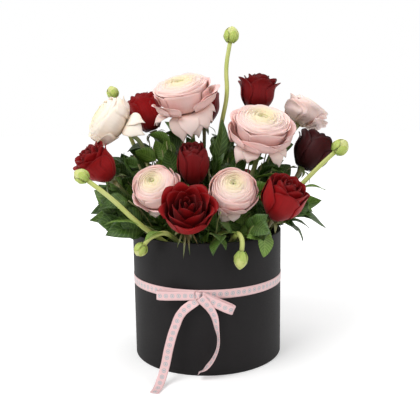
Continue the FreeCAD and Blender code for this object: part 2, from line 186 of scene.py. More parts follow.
def feed(tree, socket, value):
    if isinstance(value, bpy.types.NodeSocket):
        tree.links.new(value, socket)
    else:
        socket.default_value = value


def addNode(tree, kind, **values):
    node = tree.nodes.new(kind)
    for key, value in values.items():
        if hasattr(node, key):
            setattr(node, key, value)
        else:
            feed(tree, node.inputs[key.replace("_", " ")], value)
    return node


def calc(tree, operation, *values):
    node = addNode(tree, "ShaderNodeMath", operation=operation)
    for socket, value in zip(node.inputs, values):
        feed(tree, socket, value)
    return node.outputs[0]


def ramp(tree, source, stops):
    node = addNode(tree, "ShaderNodeValToRGB", Fac=source)
    marks = node.color_ramp.elements
    while len(marks) < len(stops):
        marks.new(0.5)
    for mark, (position, colour) in zip(marks, stops):
        mark.position = position
        mark.color = (*colour, 1)
    return node.outputs[0]


def mixed(tree, factor, a, b, blend="MIX"):
    node = addNode(tree, "ShaderNodeMix", data_type="RGBA", blend_type=blend, Factor=factor, A=a, B=b)
    return node.outputs["Result"]


def mottle(tree, scale, detail):
    coords = tree.nodes.new("ShaderNodeTexCoord")
    noise = addNode(tree, "ShaderNodeTexNoise", Scale=scale, Detail=detail, Vector=coords.outputs["Object"])
    return noise.outputs["Fac"]


def addBump(tree, bsdf, height, strength, depth, invert=False):
    node = addNode(tree, "ShaderNodeBump", invert=invert, Strength=strength, Distance=depth, Height=height)
    tree.links.new(node.outputs[0], bsdf.inputs["Normal"])


def grey(level):
    return level, level, level


def scaled(colour, share):
    return tuple(c * share for c in colour)


streakLook = {"density": 16.0, "alongScale": 1.2, "detail": 3.0}


def makeStreakGroup():
    # fine veins that run along a petal or a leaf, from its uv
    group = bpy.data.node_groups.new("petalStreaks", "ShaderNodeTree")
    density = group.interface.new_socket("Density", in_out="INPUT", socket_type="NodeSocketFloat")
    density.default_value = streakLook["density"]
    for name in ("Mask", "Along", "Across"):
        group.interface.new_socket(name, in_out="OUTPUT", socket_type="NodeSocketFloat")
    start = group.nodes.new("NodeGroupInput")
    end = group.nodes.new("NodeGroupOutput")
    uv = group.nodes.new("ShaderNodeUVMap")
    split = addNode(group, "ShaderNodeSeparateXYZ", Vector=uv.outputs[0])
    across, along = split.outputs[0], split.outputs[1]
    spread = calc(group, "MULTIPLY", across, start.outputs["Density"])
    slow = calc(group, "MULTIPLY", along, streakLook["alongScale"])
    join = addNode(group, "ShaderNodeCombineXYZ", X=spread, Y=slow)
    noise = addNode(group, "ShaderNodeTexNoise", Scale=1.0, Detail=streakLook["detail"],
                    Vector=join.outputs[0])
    for name, source in (("Mask", noise.outputs["Fac"]), ("Along", along), ("Across", across)):
        group.links.new(source, end.inputs[name])
    return group


streakGroup = makeStreakGroup()


def streaks(tree, density):
    node = tree.nodes.new("ShaderNodeGroup")
    node.node_tree = streakGroup
    node.inputs["Density"].default_value = density
    return node


petalShader = {"Roughness": 0.5, "Specular IOR Level": 0.15, "Sheen Roughness": 0.45,
               "Subsurface Weight": 0.12, "Subsurface Radius": (0.004, 0.002, 0.001),
               "Subsurface Scale": 0.5}
petalLook = {"veins": [(0.42, grey(0)), (0.68, grey(1))], "bump": (0.25, 0.0006)}


def petalMaterial(name, layerStops, alongStops, density, streakColor, streakAmount, sheen=0.04):
    mat, tree, bsdf = newMaterial(name, {**petalShader, "Sheen Weight": sheen})
    vein = streaks(tree, density)
    layer = addNode(tree, "ShaderNodeAttribute", attribute_name="layer")
    byLayer = ramp(tree, layer.outputs["Fac"], layerStops)
    byLength = ramp(tree, vein.outputs["Along"], alongStops)
    # the layer and length ramps multiplied: the flower's own tone, and for roses also painted shade
    toneAndShade = mixed(tree, 1.0, byLayer, byLength, "MULTIPLY")
    amount = calc(tree, "MULTIPLY", ramp(tree, vein.outputs["Mask"], petalLook["veins"]), streakAmount)
    feed(tree, bsdf.inputs["Base Color"], mixed(tree, amount, toneAndShade, (*streakColor, 1)))
    addBump(tree, bsdf, vein.outputs["Mask"], *petalLook["bump"])
    return mat


def roseMaterial(name, face, shade):
    # innermost petals darkened to 0.42 of the face and each petal's foot to 0.35: painted shade deep in the
    # bloom
    return petalMaterial(name, [(0.0, face), (0.55, scaled(face, 0.8)), (1.0, scaled(face, 0.42))],
                         [(0.0, grey(0.35)), (0.45, grey(0.9)), (0.9, grey(1)), (1.0, shade)],
                         14.0, scaled(face, 0.6), 0.55)


def ranunculusMaterial(name, outer, middle, heart):
    eye = (0.42, 0.48, 0.12)
    return petalMaterial(name, [(0.0, outer), (0.45, middle), (0.8, heart), (0.93, heart), (1.0, eye)],
                         [(0.0, (0.85, 0.78, 0.66)), (0.4, (0.96, 0.92, 0.9)), (0.85, (1, 0.99, 0.98)),
                          (1.0, grey(1))],
                         12.0, tuple(min(1, c * 1.1) for c in outer), 0.35)


leafShader = {"Roughness": 0.42, "Specular IOR Level": 0.32}
leafLook = {"ribs": 58.0, "sweep": -0.22, "ribStops": [(0.72, grey(0)), (0.98, grey(1))],
            "midrib": [(0.0, grey(1)), (0.09, grey(0))], "veinShare": 0.5, "mottle": (140.0, 3.0),
            "bump": (0.35, 0.0006)}


def leafMaterial(name, face, vein):
    mat, tree, bsdf = newMaterial(name, leafShader)
    lines = streaks(tree, streakLook["density"])
    side = calc(tree, "ABSOLUTE", lines.outputs["Across"])
    swept = calc(tree, "MULTIPLY_ADD", side, leafLook["sweep"], lines.outputs["Along"])
    wave = calc(tree, "SINE", calc(tree, "MULTIPLY", swept, leafLook["ribs"]))
    ribs = ramp(tree, calc(tree, "MULTIPLY_ADD", wave, 0.5, 0.5), leafLook["ribStops"])
    both = mixed(tree, 1.0, ribs, ramp(tree, side, leafLook["midrib"]), "LIGHTEN")
    amount = calc(tree, "MULTIPLY", both, leafLook["veinShare"])
    tones = ramp(tree, mottle(tree, *leafLook["mottle"]),
                 [(0.3, scaled(face, 0.65)), (0.7, scaled(face, 1.25))])
    feed(tree, bsdf.inputs["Base Color"], mixed(tree, amount, tones, (*vein, 1)))
    addBump(tree, bsdf, both, *leafLook["bump"], invert=True)
    return mat


stemShader = {"Roughness": 0.45}
stemLook = {"streaks": 9.0, "shade": [(0.3, grey(0.75)), (0.7, grey(1))], "mottle": (60.0, 2.0),
            "bump": (0.3, 0.0005)}


def stemMaterial(name, face, blush):
    mat, tree, bsdf = newMaterial(name, stemShader)
    lines = streaks(tree, stemLook["streaks"]).outputs["Mask"]
    tones = ramp(tree, mottle(tree, *stemLook["mottle"]), [(0.35, face), (0.72, blush)])
    shade = ramp(tree, lines, stemLook["shade"])
    feed(tree, bsdf.inputs["Base Color"], mixed(tree, 1.0, tones, shade, "MULTIPLY"))
    addBump(tree, bsdf, lines, *stemLook["bump"])
    return mat


paperShader = {"Specular IOR Level": 0.18}
paperLook = {"fibre": (900.0, 4.0), "cloud": (18.0, 3.0), "bump": (0.12, 0.0002),
             "roughness": [(0.3, grey(0.55)), (0.7, grey(0.68))]}


def paperMaterial(name, face, lighter):
    mat, tree, bsdf = newMaterial(name, paperShader)
    fibre = mottle(tree, *paperLook["fibre"])
    cloud = mottle(tree, *paperLook["cloud"])
    feed(tree, bsdf.inputs["Base Color"], ramp(tree, cloud, [(0.3, face), (0.75, lighter)]))
    feed(tree, bsdf.inputs["Roughness"], ramp(tree, fibre, paperLook["roughness"]))
    addBump(tree, bsdf, fibre, *paperLook["bump"])
    return mat


foamLook = {"cells": 700.0, "tones": [(0.1, (0.02, 0.06, 0.025)), (0.7, (0.07, 0.15, 0.06))],
            "bump": (0.6, 0.0006)}


def foamMaterial():
    mat, tree, bsdf = newMaterial("wetFoam", {"Roughness": 0.6})
    coords = tree.nodes.new("ShaderNodeTexCoord")
    cells = addNode(tree, "ShaderNodeTexVoronoi", Scale=foamLook["cells"], Vector=coords.outputs["Object"])
    feed(tree, bsdf.inputs["Base Color"], ramp(tree, cells.outputs["Distance"], foamLook["tones"]))
    addBump(tree, bsdf, cells.outputs["Distance"], *foamLook["bump"])
    return mat


satinShader = {"Roughness": 0.36, "Anisotropic": 0.5, "Sheen Weight": 0.3}
satinLook = {"cloth": (0.80, 0.53, 0.53, 1), "ink": (0.11, 0.38, 0.42, 1), "inkShare": 0.85, "step": 7.0,
             "size": 0.14, "motif": [(0.0, 1), (0.11, 1), (0.13, 0), (0.24, 0), (0.26, 1), (0.31, 1),
                                     (0.33, 0)], "bump": (0.08, 0.0002)}


def satinMaterial():
    # uv runs in millimetres: across the ribbon and along it
    mat, tree, bsdf = newMaterial("satinRibbon", satinShader)
    uv = tree.nodes.new("ShaderNodeUVMap").outputs[0]
    split = addNode(tree, "ShaderNodeSeparateXYZ", Vector=uv)
    weave = addNode(tree, "ShaderNodeTexWave", bands_direction="X", Scale=1.6, Distortion=0.4, Detail=1.0,
                    Vector=uv)
    # a plain ring with a dot in it, repeated along the middle of the ribbon
    step = satinLook["step"]
    turn = calc(tree, "FRACT", calc(tree, "DIVIDE", split.outputs[1], step))
    along = calc(tree, "MULTIPLY_ADD", turn, step, -step / 2)
    cell = addNode(tree, "ShaderNodeCombineXYZ", X=split.outputs[0], Y=along)
    away = addNode(tree, "ShaderNodeVectorMath", operation="LENGTH", Vector=cell.outputs[0])
    reach = calc(tree, "MULTIPLY", away.outputs["Value"], satinLook["size"])
    printed = ramp(tree, reach, [(at, grey(level)) for at, level in satinLook["motif"]])
    amount = calc(tree, "MULTIPLY", printed, satinLook["inkShare"])
    feed(tree, bsdf.inputs["Base Color"], mixed(tree, amount, satinLook["cloth"], satinLook["ink"]))
    addBump(tree, bsdf, weave.outputs["Fac"], *satinLook["bump"])
    return mat


blackPaper = paperMaterial("blackPaper", (0.008, 0.007, 0.0075), (0.013, 0.0115, 0.012))
greyBoard = paperMaterial("greyBoard", (0.30, 0.28, 0.25), (0.42, 0.39, 0.35))
linerPlastic = paperMaterial("linerPlastic", (0.02, 0.02, 0.02), (0.03, 0.03, 0.03))
wetFoam = foamMaterial()
satin = satinMaterial()
roseRed = roseMaterial("roseRed", (0.33, 0.005, 0.007), (0.6, 0.5, 0.5))
roseDeep = roseMaterial("roseDeep", (0.19, 0.0035, 0.005), (0.6, 0.5, 0.5))
# the rose red darkened to about a tenth: painted shade for rose 6, whose shaded underside is seen from the
# side
roseDark = roseMaterial("roseDark", (0.042, 0.002, 0.003), (0.5, 0.5, 0.5))
blush = ranunculusMaterial("blushPetal", (0.89, 0.59, 0.56), (0.93, 0.76, 0.70), (0.90, 0.81, 0.56))
paleBlush = ranunculusMaterial("paleBlushPetal", (0.91, 0.70, 0.66), (0.93, 0.80, 0.74), (0.90, 0.82, 0.56))
cream = ranunculusMaterial("creamPetal", (0.91, 0.79, 0.68), (0.93, 0.85, 0.74), (0.90, 0.84, 0.58))
leafDark = leafMaterial("leafDark", (0.036, 0.082, 0.010), (0.13, 0.22, 0.05))
leafBright = leafMaterial("leafBright", (0.13, 0.24, 0.035), (0.33, 0.42, 0.12))
roseStemSkin = stemMaterial("roseStemSkin", (0.10, 0.17, 0.04), (0.20, 0.15, 0.06))
ranunculusStemSkin = stemMaterial("ranunculusStemSkin", (0.24, 0.30, 0.09), (0.30, 0.24, 0.12))
budSkin = stemMaterial("budSkin", (0.48, 0.55, 0.13), (0.60, 0.63, 0.22))
print("materials made")


# camera and light

shot = {"eye": (4.12, -740.0, 297.6), "lens": 52.75, "pitch": 0.1658, "roll": -0.0119}


def makeCamera():
    p, r = shot["pitch"], shot["roll"]
    ahead = np.array([0, math.cos(p), -math.sin(p)])
    above = np.array([0, math.sin(p), math.cos(p)])
    side = np.array([1.0, 0, 0])
    right = math.cos(r) * side + math.sin(r) * above
    top = -math.sin(r) * side + math.cos(r) * above
    data = bpy.data.cameras.new("camera")
    data.lens = shot["lens"]
    data.sensor_width = 36.0
    data.clip_start = 0.01
    camera = bpy.data.objects.new("camera", data)
    turn = Matrix(np.stack([right, top, -ahead], 1).tolist()).to_4x4()
    camera.matrix_world = Matrix.Translation(Vector(shot["eye"]) * mm) @ turn
    bpy.context.scene.collection.objects.link(camera)
    bpy.context.scene.camera = camera


lamps = {
    "key": {"place": (-0.75, -0.75, 1.25), "size": 0.8, "power": 14.0},
    "fill": {"place": (0.9, -0.8, 0.9), "size": 1.2, "power": 5.0},
    "top": {"place": (0.1, 0.5, 1.5), "size": 1.0, "power": 6.0},
}
lampTarget = Vector((0, 0, 0.18))
backdrop = {"world": 0.45, "half": 6.0, "glow": (0.24, 0.62), "glowReach": (0.15, 0.9)}
floorShader = {"Base Color": (0.93, 0.93, 0.93, 1), "Roughness": 0.9, "Specular IOR Level": 0.1,
               "Emission Color": (1, 1, 1, 1)}


def makeLamps():
    for name, spec in lamps.items():
        lamp = bpy.data.lights.new(name, "AREA")
        lamp.size = spec["size"]
        lamp.energy = spec["power"]
        holder = bpy.data.objects.new(name, lamp)
        holder.location = spec["place"]
        holder.rotation_euler = (lampTarget - Vector(spec["place"])).to_track_quat("-Z", "Y").to_euler()
        bpy.context.scene.collection.objects.link(holder)


def shownRays(tree):
    # 1 where the backdrop is looked at, straight or in a reflection or through glass
    rays = tree.nodes.new("ShaderNodeLightPath")
    found = rays.outputs["Is Camera Ray"]
    for name in ("Is Glossy Ray", "Is Transmission Ray"):
        found = calc(tree, "MAXIMUM", found, rays.outputs[name])
    return found


def makeWorld():
    world = bpy.data.worlds.new("world")
    world.use_nodes = True
    bpy.context.scene.world = world
    tree = world.node_tree
    back = tree.nodes["Background"]
    back.inputs["Color"].default_value = (1, 1, 1, 1)
    level = addNode(tree, "ShaderNodeMix", Factor=shownRays(tree), A=backdrop["world"], B=1.0)
    tree.links.new(level.outputs["Result"], back.inputs["Strength"])


def makeFloor():
    mesh = bpy.data.meshes.new("floor")
    s = backdrop["half"]
    mesh.from_pydata([(-s, -s, 0), (s, -s, 0), (s, s, 0), (-s, s, 0)], [], [(0, 1, 2, 3)])
    floor = bpy.data.objects.new("floor", mesh)
    bpy.context.scene.collection.objects.link(floor)
    mat, tree, bsdf = newMaterial("paleFloor", floorShader)
    coords = tree.nodes.new("ShaderNodeTexCoord")
    away = addNode(tree, "ShaderNodeVectorMath", operation="LENGTH", Vector=coords.outputs["Object"])
    near, far = backdrop["glowReach"]
    dim, bright = backdrop["glow"]
    grow = addNode(tree, "ShaderNodeMapRange", Value=away.outputs["Value"], From_Min=near, From_Max=far,
                   To_Min=dim, To_Max=bright)
    glow = calc(tree, "MULTIPLY", shownRays(tree), grow.outputs["Result"])
    tree.links.new(glow, bsdf.inputs["Emission Strength"])
    mesh.materials.append(mat)


makeCamera()
makeLamps()
makeWorld()
makeFloor()
bpy.context.scene.view_settings.view_transform = "Standard"
print("camera and light set")


# box

for node, material in {"box_wall": greyBoard, "base_board": greyBoard, "base_paper": blackPaper,
                       "liner_pot": linerPlastic, "floral_foam": wetFoam}.items():
    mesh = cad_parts[node].data
    mesh.materials.clear()
    mesh.materials.append(material)

cover = {"paper": 0.4, "board": 2.0, "turnIn": 22.0, "rimRound": 0.9, "rimSteps": 5, "rows": 24,
         "segments": 192, "seam": 100.0, "seamHalf": 3.0, "seamRise": 0.35, "seamEnd": 2.0, "outside": 0.2}


def makeCover():
    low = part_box("cover_paper")[0][2] / mm
    inner = boxRadius - (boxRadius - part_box("box_wall")[1][0] / mm) * 2 - cover["board"]
    paper, r, hem = cover["paper"], cover["rimRound"], rimTop - cover["turnIn"]
    bends = [math.pi / 2 * k / cover["rimSteps"] for k in range(cover["rimSteps"] + 1)]
    rows = cover["rows"]
    outline = [(boxRadius, low + (rimTop - r - low) * k / rows) for k in range(rows + 1)]
    outline += [(boxRadius - r + r * math.cos(a), rimTop - r + r * math.sin(a)) for a in bends[1:]]
    outline += [(inner + r - r * math.sin(a), rimTop - r + r * math.cos(a)) for a in bends]
    outline += [(inner, hem), (inner + paper, hem), (inner + paper, rimTop - paper),
                (boxRadius - paper, rimTop - paper), (boxRadius - paper, low), (boxRadius, low)]
    turns = np.linspace(0, 2 * math.pi, cover["segments"], endpoint=False)
    seam = np.where(np.abs(np.degrees(turns) - cover["seam"]) < cover["seamHalf"], cover["seamRise"], 0.0)
    rings = []
    for radius, z in outline:
        seamed = radius > boxRadius - cover["outside"] and z < rimTop - cover["seamEnd"]
        rings.append(ring(radius + (seam if seamed else 0.0), turns, z))
    u, v = np.meshgrid(turns, np.arange(len(outline)))
    skin = Skin()
    skin.grid(np.array(rings), u, v, 0.0, closedU=True)
    carry(skin.mesh("coverPaper", blackPaper), "box", "black_paper", "cover_paper")


makeCover()
print("box made")


# ribbon

ribbon = {"width": 10.05, "thickness": 0.3, "across": 7, "bandSteps": 180, "bandStart": 0.11,
          "bandGap": 0.05}
knotForm = {"x": -10.0, "radius": 3.2, "height": 9.0, "gap": 0.1, "rows": 17, "cols": 40, "wider": 0.3,
            "flatter": 0.2, "pinch": 0.35, "fullness": 3.2, "crease": 0.09, "lean": 2.2, "tilt": 0.3,
            "uvScale": 3.0}
bandMiddle = (bandLow + bandHigh) / 2
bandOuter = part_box("ribbon_band")[1][0] / mm
knotFront = -math.sqrt((bandOuter + knotForm["gap"] + knotForm["radius"]) ** 2 - knotForm["x"] ** 2)
knotCentre = np.array([knotForm["x"], knotFront, bandMiddle])


def smoothRoute(points, count):
    # evenly spaced points on a soft curve through the route's points
    data = bpy.data.curves.new("route", "CURVE")
    data.dimensions = "3D"
    spline = data.splines.new("BEZIER")
    spline.bezier_points.add(len(points) - 1)
    for knot, point in zip(spline.bezier_points, points):
        knot.co = Vector(point)
        knot.handle_left_type = knot.handle_right_type = "AUTO"
    data.resolution_u = 24
    holder = bpy.data.objects.new("route", data)
    line = bpy.data.meshes.new_from_object(holder)
    raw = np.array([v.co for v in line.vertices])
    bpy.data.objects.remove(holder)
    bpy.data.curves.remove(data)
    bpy.data.meshes.remove(line)
    gone = distances(raw)
    steps = np.linspace(0, gone[-1], count)
    return np.stack([np.interp(steps, gone, raw[:, k]) for k in range(3)], -1)


def ribbonStrip(name, centre, sides, closed=False, cup=0.0):
    # strip of ribbon along centre points, with its width along sides; gives its length too
    across = np.linspace(-0.5, 0.5, ribbon["across"])
    normal = np.cross(headings(centre), sides)
    pts = centre[:, None, :] + across[None, :, None] * ribbon["width"] * sides[:, None, :]
    pts = pts + (0.25 - across ** 2)[None, :, None] * 4 * cup * normal[:, None, :]
    gone = distances(centre)
    u = np.repeat(across[None, :] * ribbon["width"], len(centre), 0)
    v = np.repeat(gone[:, None], ribbon["across"], 1)
    if closed:
        pts = np.concatenate([pts, pts[:1]])
        u = np.concatenate([u, u[:1]])
        v = np.concatenate([v, v[-1:] + np.linalg.norm(centre[0] - centre[-1])])
    skin = Skin()
    skin.grid(pts, u, v, 0.0)
    return thicken(skin.mesh(name, satin), ribbon["thickness"]), gone[-1]


def makeBand():
    first = -math.pi / 2 - ribbon["bandStart"]
    turns = np.linspace(first, first + 2 * math.pi, ribbon["bandSteps"], endpoint=False)
    reach = (boxRadius + bandOuter) / 2 + ribbon["bandGap"]
    sides = np.repeat([[0, 0, 1.0]], len(turns), 0)
    piece = ribbonStrip("ribbonBand", ring(reach, turns, bandMiddle), sides, closed=True)[0]
    carry(piece, "box", "satin_ribbon", "ribbon_band")


loops = {
    "Left": {"length": 43.0, "root": (-3.5, 0, 0), "heading": (-42, 5.5, -0.5), "node": "ribbon_loop_left"},
    "Right": {"length": 39.0, "root": (3.7, -0.6, -1.2), "heading": (36, -3, -15.5),
              "node": "ribbon_loop_right"},
}
loopForm = {"fullness": 8.0, "steps": 72, "cup": 0.2, "endGap": 0.3, "sideGap": 0.25,
            "half": [(0, 0.35), (0.25, 0.62), (0.55, 0.92), (0.8, 1.0), (0.94, 0.72), (1.0, 0)]}


def makeLoop(side):
    spec = loops[side]
    along = unit(spec["heading"])
    across = unit(np.cross([0, 0, 1.0], along))
    root = knotCentre + np.array(spec["root"])
    reach = spec["length"] - loopForm["endGap"]
    half = loopForm["fullness"] / 2 - loopForm["sideGap"]
    outline = loopForm["half"] + [(a, -b) for a, b in loopForm["half"][-2::-1]]
    centre = smoothRoute([root + along * a * reach + across * b * half for a, b in outline],
                         loopForm["steps"])
    sides = np.repeat([np.cross(along, across)], len(centre), 0)
    piece, length = ribbonStrip("ribbonLoop" + side, centre, sides, cup=loopForm["cup"])
    carry(piece, "box", "satin_ribbon", spec["node"])


tails = {
    "Left": {"node": "ribbon_tail_left", "twist": [0, 0],
             "route": [(-1.5, -2.0, -5.2), (-18.5, -3.6, -19.0), (-25.5, -5.6, -33.7), (-32.0, -8.6, -54.2),
                       (-37.0, -13.0, -76.0), (-41.0, -21.0, -87.8), (-44.0, -30.0, -92.6),
                       (-47.0, -39.0, -93.8)]},
    "Right": {"node": "ribbon_tail_right", "twist": [0, 20, 48, 74, 80, 78, 74],
              "route": [(2.5, -3.8, -1.5), (16.0, -4.6, -19.0), (20.0, -5.2, -36.1), (21.5, -6.0, -53.2),
                        (17.0, -6.4, -68.4), (8.0, -6.4, -80.7), (-1.0, -6.0, -87.4)]},
}
tailForm = {"steps": 80, "cup": 0.25, "flatBelow": 0.75, "flatOver": 0.5}


def makeTail(side):
    spec = tails[side]
    count = tailForm["steps"]
    centre = smoothRoute([knotCentre + np.array(p) for p in spec["route"]], count)
    marks = np.linspace(0, 1, len(spec["twist"]))
    twist = np.radians(np.interp(np.linspace(0, 1, count), marks, spec["twist"]))
    sides = []
    for way, turn in zip(headings(centre), twist):
        # faces forwards where it hangs and upwards where it lies on the table
        flatness = min(1.0, max(0.0, (tailForm["flatBelow"] - abs(way[2])) / tailForm["flatOver"]))
        facing = unit(np.array([0, -1.0, 0]) * (1 - flatness) + np.array([0, 0, 1.0]) * flatness)
        lying = unit(np.cross(way, facing))
        sides.append(lying * math.cos(turn) + np.cross(way, lying) * math.sin(turn))
    piece, length = ribbonStrip("ribbonTail" + side, centre, np.array(sides), cup=tailForm["cup"])
    carry(piece, "box", "satin_ribbon", spec["node"])


def makeKnot():
    # short wrap of ribbon, pinched at its top and bottom
    rows, cols, tall = knotForm["rows"], knotForm["cols"], knotForm["height"] / 2
    skin = Skin()
    pts = np.zeros((rows, cols, 3))
    turns = np.linspace(0, 2 * math.pi, cols, endpoint=False)
    for i in range(rows):
        t = i / (rows - 1) * 2 - 1
        swell = math.sqrt(max(0.0, 1 - abs(t) ** knotForm["fullness"]))
        crease = 1 + knotForm["crease"] * np.sin(3 * turns + knotForm["lean"] * t) * swell
        girth = (knotForm["pinch"] + (1 - knotForm["pinch"]) * swell) * crease
        pts[i, :, 0] = knotForm["x"] + (knotForm["radius"] + knotForm["wider"]) * girth * np.cos(turns)
        pts[i, :, 1] = knotFront + (knotForm["radius"] - knotForm["flatter"]) * girth * np.sin(turns)
        pts[i, :, 2] = bandMiddle + t * tall - knotForm["tilt"] * np.cos(turns) * t
    u, v = np.meshgrid(turns * knotForm["uvScale"], np.linspace(-tall, tall, rows))
    skin.grid(pts, v, u, 0.0, closedU=True)
    skin.cap(list(range(cols))[::-1], pts[0].mean(0), -tall, 0, 0.0)
    skin.cap(list(range((rows - 1) * cols, rows * cols)), pts[-1].mean(0), tall, 0, 0.0)
    carry(skin.mesh("ribbonKnot", satin), "box", "satin_ribbon", "ribbon_knot")


makeBand()
for side in loops:
    makeLoop(side)
for side in tails:
    makeTail(side)
makeKnot()
print("ribbon tied")


# flowers: head centre and stem entry from the middle of the foam's top, in millimetres

def flower(head, facing, entry, radius, half, neck, **look):
    return dict(head=head, facing=facing, entry=entry, radius=radius, half=half, neck=neck, **look)


roses = [
    flower((-125, -35, 94), (-0.60, -0.35, 0.72), (-56, -10), 22.0, 24, 24, open=1.25, seed=11, peak=0.28),
    flower((-75, 42, 152), (-0.35, 0.10, 0.93), (-36, 22), 23.0, 25, 24, open=0.8, seed=12),
    flower((-15, -32, 92), (0.00, -0.35, 0.94), (-9, 16), 20.5, 26, 24, open=0.25, seed=13, tone="deep"),
    flower((-20, -95, 48), (0.05, -0.72, 0.70), (-12, -42), 29.0, 24, 12, open=1.25, seed=14, peak=0.5,
           trails=[(-32, -98, 8), (-25, -100, -3), (-18, -99, 1), (-9, -97, 11)]),
    flower((65, 38, 175), (0.10, 0.05, 0.99), (22, 18), 23.0, 25, 24, open=1.35, seed=15, peak=0.28,
           tone="deep"),
    # rose 6 takes the darkened red, which is painted shade of its underside
    flower((129, 5, 104), (0.55, 0.25, 0.80), (60, 2), 25.0, 25, 24, open=1.2, seed=16, peak=0.28,
           tone="dark"),
    flower((85, -64, 56), (0.35, -0.40, 0.85), (50, -36), 27.0, 26, 16, open=0.7, seed=17, peak=0.28),
    flower((-2, 58, 159), (0.00, 0.25, 0.96), (-10, 44), 22.0, 24, 24, open=0.6, seed=18, tone="deep"),
    flower((-56, 72, 56), (-0.40, 0.60, 0.70), (-24, 34), 22.0, 24, 22, open=0.8, seed=19),
    flower((52, 78, 50), (0.40, 0.60, 0.70), (30, 50), 22.0, 24, 22, open=0.9, seed=20),
]
ranunculus = [
    flower((-26, 0, 173), (-0.20, -0.36, 0.91), (-22, 2), 35.0, 22, 34, seed=31, skirt=7, form="open",
           guards=[(-112, 56, 32), (-76, 54, 30), (-35, 30, 24), (165, 24, 34)]),
    flower((-115, 0, 143), (-0.80, -0.25, 0.55), (-50, 10), 30.0, 20, 26, seed=32, tone="cream", skirt=3,
           guards=[(-60, 45, 28)]),
    flower((-57, -50, 69), (-0.25, -0.75, 0.62), (-36, -22), 26.0, 20, 24, seed=33, skirt=5, flare=0.5,
           span=(-190, 10),
           guards=[(-75, 12, 18), (-115, 14, 18)]),
    flower((65, -20, 133), (0.10, -0.50, 0.86), (26, 0), 35.0, 22, 32, seed=34, skirt=7, form="open",
           flare=0.15, span=(-200, 20),
           guards=[(-136, 30, 26), (-44, 34, 26)]),
    flower((30, -62, 66), (0.02, -0.75, 0.66), (14, -20), 26.0, 20, 24, seed=35, skirt=5, flare=0.1,
           span=(-190, 10),
           guards=[(-112, 26, 20)]),
    flower((125, 50, 150), (0.50, 0.15, 0.85), (38, 32), 27.0, 18, 26, seed=36, tone="pale", skirt=6,
           frill=1.8, form="open",
           guards=[]),
    flower((-2, 92, 52), (0.00, 0.75, 0.66), (2, 60), 25.0, 19, 16, seed=37, guards=[]),
    flower((98, 48, 52), (0.70, 0.40, 0.60), (50, 16), 25.0, 19, 22, seed=38, guards=[]),
]
stemSize = {"rose": 2.4, "ranunculus": 2.8, "bud": 2.9, "stalk": 1.05, "insertion": 38.0, "stalkIn": 20.0}


def stemRoute(spec):
    entry = onFoam(*spec["entry"])
    facing = unit(spec["facing"])
    seat = onFoam(*spec["head"]) - facing * spec["half"]
    knee = seat - facing * spec["neck"]
    heading = unit(knee - entry)
    return entry - heading * stemSize["insertion"], knee, seat, facing


def bentPath(points, steps=9, share=0.45):
    # straight stretches with a round bend at each corner
    out = [points[0]]
    for a, b, c in zip(points, points[1:], points[2:]):
        inWay, outWay = unit(b - a), unit(c - b)
        reach = share * min(np.linalg.norm(b - a), np.linalg.norm(c - b))
        half = math.acos(max(-1, min(1, inWay @ outWay))) / 2
        radius = reach / math.tan(half)
        centre = b + unit(outWay - inWay) * radius / math.cos(half)
        first = unit(b - inWay * reach - centre)
        for k in range(steps + 1):
            w = 2 * half * k / steps
            out.append(centre + radius * (first * math.cos(w) + inWay * math.sin(w)))
    out.append(points[-1])
    return np.array(out)


def fillIn(path, gap=6.0):
    out = [path[0]]
    for a, b in zip(path, path[1:]):
        n = max(1, int(np.linalg.norm(b - a) / gap))
        out += [a + (b - a) * k / n for k in range(1, n + 1)]
    return np.array(out)


tubeForm = {"start": [0.3, 0.9, 0.1], "ribs": 5, "uvLength": 60.0}


def tube(skin, path, radii, sides=12, layer=0.0, ribs=0.0):
    way = headings(path)
    ups = [unit(np.cross(way[0], tubeForm["start"]))]
    for w in way[1:]:
        ups.append(unit(ups[-1] - w * (ups[-1] @ w)))
    ups = np.array(ups)
    rights = np.cross(way, ups)
    turns = np.linspace(0, 2 * math.pi, sides, endpoint=False)
    cos, sin = np.cos(turns)[None, :, None], np.sin(turns)[None, :, None]
    wavy = 1 + ribs * np.cos(tubeForm["ribs"] * turns)
    pts = (path[:, None, :] + radii[:, None, None] * wavy[None, :, None]
           * (cos * ups[:, None, :] + sin * rights[:, None, :]))
    gone = distances(path) / tubeForm["uvLength"]
    u = np.repeat(np.linspace(0, 1, sides)[None, :], len(path), 0)
    v = np.repeat(gone[:, None], sides, 1)
    start = skin.count
    skin.grid(pts, u, v, layer, closedU=True)
    skin.cap(list(range(start, start + sides))[::-1], path[0], 0.5, 0, layer)
    last = start + (len(path) - 1) * sides
    skin.cap(list(range(last, last + sides)), path[-1], 0.5, gone[-1], layer)


petalForm = {"bellyAt": 0.55, "foldAt": 0.7, "foldDrop": 0.45, "sway": 0.7, "swayPace": 0.8, "opening": 1.7}


